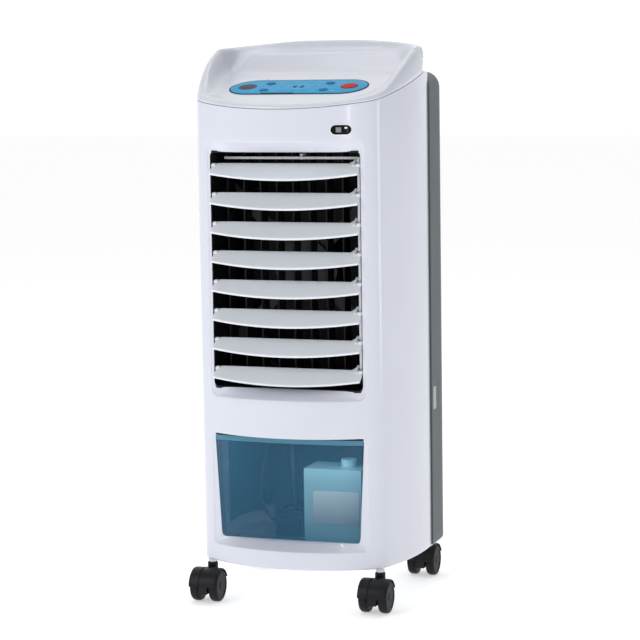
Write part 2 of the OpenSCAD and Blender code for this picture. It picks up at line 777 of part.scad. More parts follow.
module rear_housing() {
    color(grey) difference() {
        union() {
            difference() {
                housing_mass(0);
                translate([0, -eps, -eps]) housing_mass(wall);
                translate([-200, seam_y - 1, 0]) cube([400, 1 + eps, 40]);
            }
            // neck under the cap's rim
            translate([0, 0, shoulder_z - wall]) linear_extrude(neck_z - shoulder_z + wall - 0.3)
                difference() {
                    neck_outline(3);
                    neck_outline(5.5);
                }
        }
        // way up into the neck
        translate([0, 0, shoulder_z - 10]) linear_extrude(20) neck_outline(5.5);
        translate([-grille_half, 120, grille_z[0]])
            cube([2 * grille_half, 30, grille_z[1] - grille_z[0]]);
        translate([-hatch_half, 90, 0]) cube([2 * hatch_half, 60, hatch_z[1]]);
        translate([120, clip_y[0], clip_z[0]])
            cube([40, clip_y[1] - clip_y[0], clip_z[1] - clip_z[0]]);
        translate([gland_c[0], 0, gland_c[1]]) rod_y(gland_r, 90, 150, 48);
    }
}

module neck_outline(t) {
    intersection() {
        cap_outline(t);
        translate([-200, side_y + 1]) square([400, 200]);
    }
}

module rear_grille() {
    slats = 30;
    step = (grille_z[1] - grille_z[0] - 14) / slats;
    gap = 0.4;
    color(grey) difference() {
        translate([-grille_half + gap, rear_y - 4, grille_z[0] + gap])
            cube([2 * (grille_half - gap), 4, grille_z[1] - grille_z[0] - 2 * gap]);
        for (i = [0 : slats - 1], s = [-1, 1])
            translate([s * 38.5 - 35.5, rear_y - 6, grille_z[0] + 7 + step * (i + 0.25)])
                cube([71, 8, step * 0.55]);
    }
}

module dust_filter() {
    color([0.25, 0.27, 0.28]) {
        difference() {
            translate([-80, 122, grille_z[0] + 2]) cube([160, 4, grille_z[1] - grille_z[0] - 4]);
            translate([-75, 120, grille_z[0] + 7]) cube([150, 8, grille_z[1] - grille_z[0] - 14]);
        }
        translate([-76, 123.5, grille_z[0] + 6]) cube([152, 1, grille_z[1] - grille_z[0] - 12]);
    }
}

// Spring tab in the right side wall that frees the grille
module grille_clip() {
    gap = 0.5;
    color([0.72, 0.75, 0.76]) {
        translate([rear_half - 3, clip_y[0] + gap, clip_z[0] + gap])
            cube([3, clip_y[1] - clip_y[0] - 2 * gap, clip_z[1] - clip_z[0] - 2 * gap]);
        translate([rear_half - 12, clip_y[0] + 5, clip_z[0] + 6]) cube([10, 4, 18]);
    }
}

module cord_gland() {
    color(black) translate([gland_c[0], 0, gland_c[1]]) difference() {
        union() {
            rod_y(gland_r, 110, rear_y - 1, 48);
            rod_y(gland_r + 3, 108, 112, 48);
        }
        rod_y(3.6, 100, rear_y + 1, 48);
    }
}

// ---- base and casters -------------------------------------------------------------------

stems = [[-stem_x, -91.5], [stem_x, -91.5], [-stem_x, 117], [stem_x, 117]];
stem_r = 4;
screws = [[-70, -104], [70, -104], [-120, 20], [120, 20], [-118, 70], [118, 70]];

module base_tray() {
    color([0.80, 0.82, 0.86]) difference() {
        union() {
            translate([0, 0, body_z]) linear_extrude(3) body_outline(wall + 0.2);
            difference() {
                translate([0, 0, body_z]) linear_extrude(17) difference() {
                    body_outline(wall + 0.2);
                    body_outline(wall + 2.7);
                }
                translate([-hatch_half - 1, 90, body_z + 3]) cube([2 * hatch_half + 2, 60, 40]);
            }
            intersection() {
                for (p = stems) translate([p[0], p[1], body_z]) cylinder(r = 8, h = 26, $fn = 48);
                translate([0, 0, body_z]) linear_extrude(40) body_outline(wall + 0.2);
            }
        }
        for (p = stems) translate([p[0], p[1], body_z - 1]) cylinder(r = stem_r, h = 22, $fn = 48);
        for (p = screws) translate([p[0], p[1], body_z - 1]) cylinder(r = 1.8, h = 6, $fn = 32);
    }
}

module shell_screws() {
    color([0.7, 0.7, 0.72]) for (p = screws) translate([p[0], p[1], body_z - 2]) {
        cylinder(r = 3.5, h = 2, $fn = 32);
        cylinder(r = 1.8, h = 7, $fn = 32);
    }
}

module caster_stems() {
    color([0.78, 0.79, 0.80]) for (p = stems) translate([p[0], p[1], 0]) {
        translate([0, 0, 30]) cylinder(r = stem_r, h = body_z + 21 - 30, $fn = 48);
        translate([0, 0, 48]) cylinder(r = 5.5, h = 2, $fn = 48);
    }
}

wheel_w = 12;
caster_half = 18.5;                           // half width over both wheels
axle_r = 2.5;

// Hood with its stem socket; the wheels trail towards the front
module caster_hood(i) {
    p = stems[i];
    color(black) translate([p[0], p[1], 0]) difference() {
        union() {
            // web between the wheels, and the fender over them
            translate([-5.5, -caster_trail, wheel_r]) rotate([0, 90, 0])
                cylinder(r = wheel_r - 3, h = 11, $fn = 64);
            intersection() {
                translate([-caster_half, -caster_trail, wheel_r]) rotate([0, 90, 0])
                    difference() {
                        cylinder(r = wheel_r + 3, h = 2 * caster_half, $fn = 64);
                        translate([0, 0, -1])
                            cylinder(r = wheel_r + 0.8, h = 2 * caster_half + 2, $fn = 64);
                    }
                translate([-30, -caster_trail - 40, wheel_r + 7]) cube([60, 80, 40]);
            }
            translate([-5.5, -caster_trail, wheel_r]) cube([11, 18, wheel_r + 2]);
            cylinder(r = 6.5, h = 46.5, $fn = 48);
        }
        translate([0, 0, 29.8]) cylinder(r = stem_r + run_fit, h = 30, $fn = 48);
        translate([-30, -caster_trail, wheel_r]) rotate([0, 90, 0])
            cylinder(r = axle_r + run_fit, h = 60, $fn = 48);
        translate([-20, -caster_trail - 60, -1]) cube([40, 90, 7]);
        // clears the wheels
        for (s = [-1, 1]) translate([s * (caster_half + 6), -caster_trail, wheel_r])
            rotate([0, 90, 0])
            cylinder(r = wheel_r + 0.6, h = 2 * caster_half, center = true, $fn = 64);
    }
}

module caster_wheels(i) {
    p = stems[i];
    color([0.1, 0.1, 0.11]) translate([p[0], p[1] - caster_trail, wheel_r]) {
        rotate([0, 90, 0]) cylinder(r = axle_r, h = 2 * caster_half - 4, center = true, $fn = 48);
        for (s = [-1, 1]) rotate([0, 90 * s, 0]) translate([0, 0, caster_half - wheel_w]) {
            cylinder(r = wheel_r, h = wheel_w - 3, $fn = 64);
            translate([0, 0, wheel_w - 3 - eps]) cylinder(r1 = wheel_r, r2 = wheel_r - 4, h = 3, $fn = 64);
        }
    }
}

front_shell();
top_cap();
rear_housing();
base_tray();
control_overlay();
sensor_window();
louvre_frame();
swing_motor();
fan_motor();
fan_plate();
cooling_pad();
drip_tray();
control_board();
shell_screws();
cord_gland();
caster_stems();
pump_hose();
pump_cable();
louvre(0);  // louvre_1
louvre(1);  // louvre_2
louvre(2);  // louvre_3
louvre(3);  // louvre_4
louvre(4);  // louvre_5
louvre(5);  // louvre_6
louvre(6);  // louvre_7
louvre(7);  // louvre_8
louvre_link();
vane(0);  // vane_1
vane(1);  // vane_2
vane(2);  // vane_3
vane(3);  // vane_4
vane(4);  // vane_5
vane(5);  // vane_6
vane(6);  // vane_7
vane(7);  // vane_8
vane(8);  // vane_9
vane_link();
swing_crank();
fan_wheel();
button(0, [0.80, 0.10, 0.10]);  // power_button
button(1, [0.10, 0.45, 0.75]);  // speed_button
button(2, [0.10, 0.45, 0.75]);  // swing_button
button(3, [0.10, 0.45, 0.75]);  // cool_button
button(4, [0.10, 0.45, 0.75]);  // timer_button
rear_grille();
dust_filter();
grille_clip();
water_tank();
tank_panel();
tank_latch();
pump();
ice_box();
caster_hood(0);  // caster_hood_1
caster_hood(1);  // caster_hood_2
caster_hood(2);  // caster_hood_3
caster_hood(3);  // caster_hood_4
caster_wheels(0);  // caster_wheels_1
caster_wheels(1);  // caster_wheels_2
caster_wheels(2);  // caster_wheels_3
caster_wheels(3);  // caster_wheels_4
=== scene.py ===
"""Evaporative cooler: the looks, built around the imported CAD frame."""
import json
import math

import bmesh
import bpy
from mathutils import Matrix, Vector


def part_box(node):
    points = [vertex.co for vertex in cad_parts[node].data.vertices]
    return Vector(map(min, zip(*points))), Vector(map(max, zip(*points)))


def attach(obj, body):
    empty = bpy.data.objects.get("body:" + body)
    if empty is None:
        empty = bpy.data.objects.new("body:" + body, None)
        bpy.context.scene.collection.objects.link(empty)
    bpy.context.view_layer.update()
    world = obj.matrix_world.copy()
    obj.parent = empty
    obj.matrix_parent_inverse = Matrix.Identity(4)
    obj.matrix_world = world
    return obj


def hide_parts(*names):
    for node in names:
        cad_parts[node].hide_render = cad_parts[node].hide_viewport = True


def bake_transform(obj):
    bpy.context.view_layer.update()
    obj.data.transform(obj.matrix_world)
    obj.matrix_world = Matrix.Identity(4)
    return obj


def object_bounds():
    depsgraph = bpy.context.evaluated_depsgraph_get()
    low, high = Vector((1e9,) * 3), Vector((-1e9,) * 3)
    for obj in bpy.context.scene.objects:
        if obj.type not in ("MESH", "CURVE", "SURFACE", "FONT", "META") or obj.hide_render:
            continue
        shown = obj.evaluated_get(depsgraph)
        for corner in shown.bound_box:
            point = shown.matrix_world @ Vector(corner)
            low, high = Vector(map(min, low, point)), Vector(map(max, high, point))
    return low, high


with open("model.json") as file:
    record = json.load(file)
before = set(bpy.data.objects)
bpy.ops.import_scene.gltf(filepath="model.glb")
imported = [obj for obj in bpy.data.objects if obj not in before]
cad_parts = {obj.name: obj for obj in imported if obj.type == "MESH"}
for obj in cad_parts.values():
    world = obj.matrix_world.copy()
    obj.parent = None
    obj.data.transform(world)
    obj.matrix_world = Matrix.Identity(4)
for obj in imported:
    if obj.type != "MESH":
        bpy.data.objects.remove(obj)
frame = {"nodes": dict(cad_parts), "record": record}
CAD_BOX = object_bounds()
NODES = frame["nodes"]
MM = 0.001

# ---- camera ----------------------------------------------------------------

CAMERA_AT = (0.9262, -2.6629, 0.6911)
AZIMUTH = math.radians(19.07)
DOWN = math.radians(6.98)
ROLL = math.radians(-0.86)
LENS = 125.56


def make_camera():
    forward = Vector((-math.sin(AZIMUTH) * math.cos(DOWN),
                      math.cos(AZIMUTH) * math.cos(DOWN), -math.sin(DOWN)))
    right = Vector((math.cos(AZIMUTH), math.sin(AZIMUTH), 0))
    up = right.cross(forward)
    right, up = (math.cos(ROLL) * right + math.sin(ROLL) * up,
                 math.cos(ROLL) * up - math.sin(ROLL) * right)
    data = bpy.data.cameras.new("camera")
    data.lens = LENS
    data.sensor_width = 36
    data.clip_end = 50
    cam = bpy.data.objects.new("camera", data)
    bpy.context.scene.collection.objects.link(cam)
    turn = Matrix((right, up, -forward)).transposed()
    cam.matrix_world = Matrix.Translation(CAMERA_AT) @ turn.to_4x4()
    bpy.context.scene.camera = cam


make_camera()

# ---- the body's lines, in plan ----------------------------------------------

FRONT_Y = CAD_BOX[0].y
REAR_Y = CAD_BOX[1].y
TOP_Z = CAD_BOX[1].z
SHELL_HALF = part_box("front_shell")[1].x
REAR_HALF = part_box("rear_housing")[1].x
BODY_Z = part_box("front_shell")[0].z
FRONT_R = 203 * MM
SIDE_R = 325 * MM
CORNER_R = 32 * MM
REAR_R = 55 * MM
CAP_R = 76 * MM
SIDE_Y = 20 * MM
SEAM_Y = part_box("front_shell")[1].y
SLOPE = 0.26
SEAM_Z0 = 617 * MM
SHOULDER_Z = 658 * MM
NECK_Z = 676 * MM
PATCH_HALF = 104 * MM

FRONT_C = Vector((0, FRONT_Y + FRONT_R))
SIDE_C = Vector((SHELL_HALF - SIDE_R, SIDE_Y))


def meet(c1, r1, c2, r2):
    """The meeting point of two circles that lies to the front."""
    d = (c2 - c1).length
    u = (c2 - c1) / d
    a = (r1 * r1 - r2 * r2 + d * d) / (2 * d)
    h = math.sqrt(r1 * r1 - a * a)
    return c1 + a * u + h * Vector((-u.y, u.x))


CORNER_C = meet(FRONT_C, FRONT_R - CORNER_R, SIDE_C, SIDE_R - CORNER_R)


def heading(a, b):
    return math.atan2(b.y - a.y, b.x - a.x)


CORNER_A0 = heading(FRONT_C, CORNER_C)
CORNER_A1 = heading(SIDE_C, CORNER_C)


def arc(centre, r, a0, a1, n):
    """Points and outward normals along an arc."""
    out = []
    for i in range(n + 1):
        a = a0 + (a1 - a0) * i / n
        normal = Vector((math.cos(a), math.sin(a)))
        out.append((centre + r * normal, normal))
    return out


def joined(*runs):
    """Runs of points end to end, without doubled points."""
    out = []
    for run in runs:
        for item in run:
            if not out or (item[0] - out[-1][0]).length > 1e-5:
                out.append(item)
    return out


def front_y_at(x):
    """The bowed front's Y at x."""
    return FRONT_C.y - math.sqrt(FRONT_R * FRONT_R - x * x)


def mirror_run(run):
    return [(Vector((-p.x, p.y)), Vector((-n.x, n.y))) for p, n in reversed(run)]


PATCH_A = math.asin(PATCH_HALF / FRONT_R) - math.pi / 2
SEAM_A = math.asin((SEAM_Y - SIDE_Y) / SIDE_R)
side_run = joined(
    arc(FRONT_C, FRONT_R, PATCH_A, CORNER_A0, 2),
    arc(CORNER_C, CORNER_R, CORNER_A0, CORNER_A1, 20),
    arc(SIDE_C, SIDE_R, CORNER_A1, SEAM_A, 24))
CAP_C = Vector((SHELL_HALF - CAP_R, 12 * MM))
CAP_A = math.asin((CAP_C.y - SIDE_Y) / SIDE_R)
cap_half = joined(
    arc(FRONT_C, FRONT_R, -math.pi / 2, CORNER_A0, 40),
    arc(CORNER_C, CORNER_R, CORNER_A0, CORNER_A1, 24),
    arc(SIDE_C, SIDE_R, CORNER_A1, CAP_A, 20),
    arc(CAP_C, CAP_R, 0, math.pi / 2, 40),
    [(Vector((CAP_C.x * (1 - i / 14), CAP_C.y + CAP_R)), Vector((0, 1))) for i in range(1, 15)])
cap_run = cap_half + mirror_run(cap_half)[1:-1]
REAR_C = Vector((REAR_HALF - REAR_R, REAR_Y - REAR_R))


def seam_z(y):
    return SEAM_Z0 + SLOPE * (y - FRONT_Y)


# ---- mesh helpers --------------------------------------------------------------

def smoothstep(t):
    t = min(max(t, 0), 1)
    return t * t * (3 - 2 * t)


def new_object(name, verts, faces, sharp=35, merge=2e-5):
    """A smooth-shaded mesh object whose edges past the angle stay crisp."""
    bm = bmesh.new()
    made = [bm.verts.new(v) for v in verts]
    for f in faces:
        loop = [made[i] for i in f]
        if len(set(loop)) > 2:
            try:
                bm.faces.new(loop)
            except ValueError:
                pass  # the face is already there
    bmesh.ops.remove_doubles(bm, verts=bm.verts, dist=merge)
    bmesh.ops.dissolve_degenerate(bm, edges=bm.edges, dist=1e-6)
    bmesh.ops.recalc_face_normals(bm, faces=bm.faces)
    mesh = bpy.data.meshes.new(name)
    bm.to_mesh(mesh)
    bm.free()
    mesh.shade_smooth()
    mesh.set_sharp_from_angle(angle=math.radians(sharp))
    obj = bpy.data.objects.new(name, mesh)
    bpy.context.scene.collection.objects.link(obj)
    return obj


def bridge(rings, closed=True, first=0):
    """Quads between rings of equal length, whose vertices are numbered in order."""
    n = len(rings[0])
    faces = []
    for k in range(len(rings) - 1):
        for i in range(n if closed else n - 1):
            a, b = first + k * n + i, first + k * n + (i + 1) % n
            faces.append((a, b, b + n, a + n))
    return faces


def loft(name, rings, closed=True, cap=(True, True), sharp=35):
    verts = [v for ring in rings for v in ring]
    faces = bridge(rings, closed)
    n = len(rings[0])
    if cap[0]:
        faces.append(tuple(range(n)))
    if cap[1]:
        faces.append(tuple(range(len(verts) - n, len(verts))))
    return new_object(name, verts, faces, sharp)


def modify(obj, kind, **values):
    m = obj.modifiers.new(kind.lower(), kind)
    for key, value in values.items():
        setattr(m, key, value)
    return m


def apply_modifiers(obj):
    depsgraph = bpy.context.evaluated_depsgraph_get()
    mesh = bpy.data.meshes.new_from_object(obj.evaluated_get(depsgraph))
    obj.modifiers.clear()
    obj.data = mesh
    return obj


def thicken(obj, depth):
    """Gives a skin its wall, inwards."""
    modify(obj, "SOLIDIFY", thickness=depth, offset=-1, use_even_offset=False)
    return apply_modifiers(obj)


def join(name, parts):
    """Joins objects into the first, under a new name."""
    mesh = bpy.data.meshes.new(name)
    bm = bmesh.new()
    for part in parts:
        bm.from_mesh(part.data)
        bpy.data.objects.remove(part)
    bm.to_mesh(mesh)
    bm.free()
    mesh.set_sharp_from_angle(angle=math.radians(35))
    obj = bpy.data.objects.new(name, mesh)
    bpy.context.scene.collection.objects.link(obj)
    return obj


def lathe(name, profile, centre, axis="Z", steps=48):
    """A turned piece. profile is (radius, height) pairs, from pole to pole."""
    rings = []
    for r, h in profile:
        ring = []
        for i in range(steps):
            a = 2 * math.pi * i / steps
            c, s = r * math.cos(a), r * math.sin(a)
            ring.append(Vector({"X": (h, c, s), "Y": (c, h, s), "Z": (c, s, h)}[axis]) + Vector(centre))
        rings.append(ring)
    return loft(name, rings)


def rounded_rectangle(half_w, z0, z1, r, samples):
    """Points (x, z) for each sample (side, t): sides go right, up, left, down; t runs 0 to 1."""
    out = []
    for side, t in samples:
        w, h = half_w, (z1 - z0) / 2
        long = w if side in (0, 2) else h
        run = (t * 2 - 1) * (long - r + r * math.pi / 4)
        straight = long - r
        if abs(run) <= straight:
            along, into = run, 0
        else:
            a = (abs(run) - straight) / r
            along = math.copysign(straight + r * math.sin(a), run)
            into = r * (1 - math.cos(a))
        x, z = {0: (along, -h + into), 1: (w - into, along),
                2: (-along, h - into), 3: (-w + into, -along)}[side]
        out.append((x, z + (z0 + z1) / 2))
    return out


# ---- materials -------------------------------------------------------------------

def plastic(name, colour, rough=0.25, mottle=0.03, grain=0.0, grain_scale=900, coat=0.0, spec=0.5,
            wear=0.0, alpha=1.0, metallic=0.0):
    """Moulded plastic: faint colour and gloss variation, optional grain and worn edges."""
    mat = bpy.data.materials.new(name)
    mat.use_nodes = True
    tree = mat.node_tree
    nodes, links = tree.nodes, tree.links
    shader = nodes["Principled BSDF"]
    shader.inputs["Specular IOR Level"].default_value = spec
    shader.inputs["Coat Weight"].default_value = coat
    shader.inputs["Coat Roughness"].default_value = 0.08
    shader.inputs["Alpha"].default_value = alpha
    shader.inputs["Metallic"].default_value = metallic
    place = nodes.new("ShaderNodeTexCoord")
    noise = nodes.new("ShaderNodeTexNoise")
    noise.inputs["Scale"].default_value = 14
    noise.inputs["Detail"].default_value = 5
    links.new(place.outputs["Object"], noise.inputs["Vector"])
    ramp = nodes.new("ShaderNodeValToRGB")
    low = [max(0, c * (1 - mottle)) for c in colour]
    high = [min(1, c * (1 + mottle)) for c in colour]
    ramp.color_ramp.elements[0].position = 0.3
    ramp.color_ramp.elements[1].position = 0.7
    ramp.color_ramp.elements[0].color = (*low, 1)
    ramp.color_ramp.elements[1].color = (*high, 1)
    links.new(noise.outputs["Fac"], ramp.inputs["Fac"])
    colour_out = ramp.outputs["Color"]
    if wear:
        geometry = nodes.new("ShaderNodeNewGeometry")
        edge = nodes.new("ShaderNodeMapRange")
        edge.inputs["From Min"].default_value = 0.52
        edge.inputs["From Max"].default_value = 0.62
        edge.inputs["To Max"].default_value = wear
        links.new(geometry.outputs["Pointiness"], edge.inputs["Value"])
        mix = nodes.new("ShaderNodeMix")
        mix.data_type = "RGBA"
        mix.inputs[7].default_value = (*[min(1, c * 1.6 + 0.05) for c in colour], 1)
        links.new(edge.outputs["Result"], mix.inputs[0])
        links.new(colour_out, mix.inputs[6])
        colour_out = mix.outputs[2]
    links.new(colour_out, shader.inputs["Base Color"])
    gloss = nodes.new("ShaderNodeMapRange")
    gloss.inputs["To Min"].default_value = rough * 0.85
    gloss.inputs["To Max"].default_value = rough * 1.15
    links.new(noise.outputs["Fac"], gloss.inputs["Value"])
    links.new(gloss.outputs["Result"], shader.inputs["Roughness"])
    if grain:
        fine = nodes.new("ShaderNodeTexNoise")
        fine.inputs["Scale"].default_value = grain_scale
        fine.inputs["Detail"].default_value = 3
        links.new(place.outputs["Object"], fine.inputs["Vector"])
        bump = nodes.new("ShaderNodeBump")
        bump.inputs["Strength"].default_value = grain
        bump.inputs["Distance"].default_value = 0.0004
        links.new(fine.outputs["Fac"], bump.inputs["Height"])
        links.new(bump.outputs["Normal"], shader.inputs["Normal"])
    return mat


WHITE = plastic("white_gloss", (0.74, 0.765, 0.85), rough=0.22, mottle=0.012, grain=0.02, coat=0.3)
CAP_WHITE = plastic("white_cap", (0.72, 0.745, 0.82), rough=0.26, mottle=0.012, grain=0.03, coat=0.25)
# a lighter copy of the shell's white: the extra lightness is painted light on the lit tops of the blades and
# on the links
BLADE_WHITE_PAINTED_LIGHT = plastic("white_blade_painted_light", (0.88, 0.915, 0.97), rough=0.3, mottle=0.015, grain=0.03)
INNER_WHITE = plastic("white_inner", (0.70, 0.72, 0.76), rough=0.5, mottle=0.03, grain=0.1)
GREY = plastic("grey_housing", (0.075, 0.095, 0.102), rough=0.45, mottle=0.05, grain=0.25, wear=0.12,
               spec=0.35)
# black plastic for the vanes and the cord gland; also painted shade on the duct, the fan and the window's
# head
BLACK_PLASTIC_AND_SHADE = plastic("black_plastic_and_duct_shade", (0.005, 0.005, 0.006), rough=0.45, mottle=0.2, grain=0.2, wear=0.02, spec=0.3)
CASTER = plastic("caster_black", (0.006, 0.0065, 0.008), rough=0.42, mottle=0.15, grain=0.2, wear=0.03,
                 spec=0.25)
TYRE = plastic("caster_tread", (0.008, 0.0085, 0.010), rough=0.5, mottle=0.2, grain=0.3, wear=0.02, spec=0.2)
STEEL = plastic("zinc_steel", (0.62, 0.63, 0.66), rough=0.28, mottle=0.08, grain=0.15, metallic=1.0)
# painted shade: steel darkened so the fan motor stays dark inside the duct
MOTOR_STEEL_PAINTED_SHADE = plastic("motor_steel", (0.055, 0.056, 0.06), rough=0.42, mottle=0.15, grain=0.2, metallic=0.6)
LENS_BLACK = plastic("sensor_lens", (0.004, 0.005, 0.006), rough=0.12, mottle=0.1, spec=0.12)
RED = plastic("red_button", (0.55, 0.010, 0.010), rough=0.4, mottle=0.05, spec=0.04)
BLUE = plastic("blue_button", (0.015, 0.16, 0.46), rough=0.4, mottle=0.05, spec=0.04)
TANK = plastic("tank_blue", (0.055, 0.24, 0.42), rough=0.14, mottle=0.05, spec=0.3, alpha=0.19)
# lighter, more opaque blue for the tank's top rim: the rim is real, its lighter tone is painted light showing
# through the thick plastic
RIM_BLUE_PAINTED_LIGHT = plastic("window_rim_painted_light_blue", (0.13, 0.36, 0.50), rough=0.25, mottle=0.05, spec=0.3, alpha=0.6)
CYAN = plastic("overlay_cyan", (0.05, 0.40, 0.70), rough=0.4, mottle=0.03, spec=0.05)
INK = plastic("overlay_ink", (0.012, 0.03, 0.06), rough=0.45, mottle=0.1, spec=0.05)
MARK = plastic("overlay_mark", (0.20, 0.55, 0.76), rough=0.4, mottle=0.1, spec=0.05)
DIM_MARK = plastic("overlay_dim_mark", (0.08, 0.27, 0.42), rough=0.4, mottle=0.1, spec=0.05)
RECEIVER = plastic("receiver_maroon", (0.035, 0.006, 0.008), rough=0.3, mottle=0.15, spec=0.06)
# pale bezel plastic; the same material also paints the highlight on the sensor lens
PALE_BEZEL_AND_GLINT = plastic("bezel_pale_and_painted_glint", (0.86, 0.87, 0.90), rough=0.18, mottle=0.02, coat=0.3)
SENSOR_GREY = plastic("sensor_grey", (0.22, 0.25, 0.25), rough=0.4, mottle=0.1)
ICE = plastic("ice_box_blue", (0.22, 0.44, 0.52), rough=0.3, mottle=0.08, coat=0.1)
LABEL = plastic("ice_box_panel", (0.40, 0.50, 0.54), rough=0.5, mottle=0.04)
PUMP = plastic("pump_dark", (0.008, 0.022, 0.055), rough=0.4, mottle=0.2, grain=0.2)
HOSE = plastic("hose_dark", (0.010, 0.030, 0.075), rough=0.45, mottle=0.15, grain=0.1)
PAD = plastic("pad_paper", (0.42, 0.32, 0.16), rough=0.9, mottle=0.3, grain=1.0, grain_scale=300)
BOARD = plastic("board_green", (0.02, 0.14, 0.05), rough=0.4, mottle=0.3, grain=0.2)
CLIP = plastic("clip_grey", (0.36, 0.40, 0.41), rough=0.35, mottle=0.05, grain=0.1)
MESH = plastic("filter_mesh", (0.035, 0.042, 0.045), rough=0.8, mottle=0.3, grain=1.0, grain_scale=500)


def paint(obj, mat):
    obj.data.materials.clear()
    obj.data.materials.append(mat)
    return obj


def place(obj, mat, body, slot, *replaced):
    paint(obj, mat)
    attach(obj, body)
    if replaced:
        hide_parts(*replaced)
    return obj


# ---- front shell -----------------------------------------------------------------

COLUMN = 4 * MM
FRONT_WALL = 2.2 * MM
columns_n = round(2 * PATCH_HALF / COLUMN)
front_columns = [-PATCH_HALF + COLUMN * i for i in range(columns_n + 1)]
LOUVRE_Z = (255 * MM, 585 * MM)
WINDOW_Z = (66 * MM, 223 * MM)


def rows_between(z0, z1, step=5 * MM):
    n = max(1, round((z1 - z0) / step))
    return [z0 + (z1 - z0) * i / n for i in range(n + 1)]


def patch_samples(nx, nz):
    """(side, t) for each border point of a patch, once round."""
    out = []
    for side, n in ((0, nx), (1, nz), (2, nx), (3, nz)):
        out += [(side, i / n) for i in range(n)]
    return out


def on_front(x, z, depth=0.0):
    """A point on the bowed front, sunk by depth along the surface normal."""
    normal = Vector((x, front_y_at(x) - FRONT_C.y)).normalized()
    return Vector((x - normal.x * depth, front_y_at(x) - normal.y * depth, z))


def patch_border(heights, samples):
    """The border of a patch of the front between two heights, at each sample."""
    z0, z1 = heights
    out = []
    for side, t in samples:
        x, z = {0: (-PATCH_HALF + 2 * PATCH_HALF * t, z0),
                1: (PATCH_HALF, z0 + (z1 - z0) * t),
                2: (PATCH_HALF - 2 * PATCH_HALF * t, z1),
                3: (-PATCH_HALF, z1 - (z1 - z0) * t)}[side]
        out.append(on_front(x, z))
    return out


def louvre_reveal():
    """Rings from the patch border over the soft edge, and down the sloping lips."""
    rows = rows_between(*LOUVRE_Z)
    samples = patch_samples(columns_n, len(rows) - 1)
    half, z0, z1, r = 101 * MM, 263 * MM, 577 * MM, 9 * MM
    rings = [patch_border(LOUVRE_Z, samples)]
    for grow, sink in ((1.6, 0), (0.9, 0.12), (0.35, 0.5), (0, 1.1)):
        g = grow * MM
        rings.append([on_front(x, z, sink * MM)
                      for x, z in rounded_rectangle(half + g, z0 - g, z1 + g, r + g, samples)])
    inner = []
    for x, z in rounded_rectangle(97.2 * MM, 274.3 * MM, 564.2 * MM, 3 * MM, samples):
        back = (-110.5 + 2.6 * smoothstep((abs(x) / MM - 86) / 9)) * MM
        inner.append(Vector((x, back, z)))
    edge = rings[-1]
    for t in (0.35, 0.7, 0.93, 1.0):
        rings.append([a.lerp(b, t) for a, b in zip(edge, inner)])
    rings.append([v + Vector((0, 0.8 * MM, 0)) for v in inner])
    return rings, rows


def window_outline(grow, r, samples):
    """The window's tapering outline, wider at its head than at its foot."""
    z0, z1 = 84 * MM - grow, 215 * MM + grow
    out = []
    for x, z in rounded_rectangle(94.3 * MM + grow, z0, z1, r, samples):
        t = (z - z0) / (z1 - z0)
        out.append((x * (1 + 0.035 * (2 * t - 1)), z))
    return out


def window_recess():
    rows = rows_between(*WINDOW_Z)
    samples = patch_samples(columns_n, len(rows) - 1)
    rings = [patch_border(WINDOW_Z, samples)]
    half, z0, z1, r = 101.3 * MM, 75 * MM, 215.5 * MM, 4 * MM
    for grow, sink in ((1.5, 0), (0.8, 0.12), (0.3, 0.45), (0, 1.0)):
        g = grow * MM
        rings.append([on_front(x, z, sink * MM)
                      for x, z in rounded_rectangle(half + g, z0 - g, z1 + g, r + g, samples)])
    edge = rings[-1]
    inner = [Vector((x, -107.5 * MM, z)) for x, z in window_outline(0, 5 * MM, samples)]
    for t in (0.3, 0.65, 0.93, 1.0):
        rings.append([a.lerp(b, t) for a, b in zip(edge, inner)])
    rings.append([v + Vector((0, 2 * MM, 0)) for v in inner])
    return rings, rows


def shell_top(y):
    return min(seam_z(y), SHOULDER_Z)


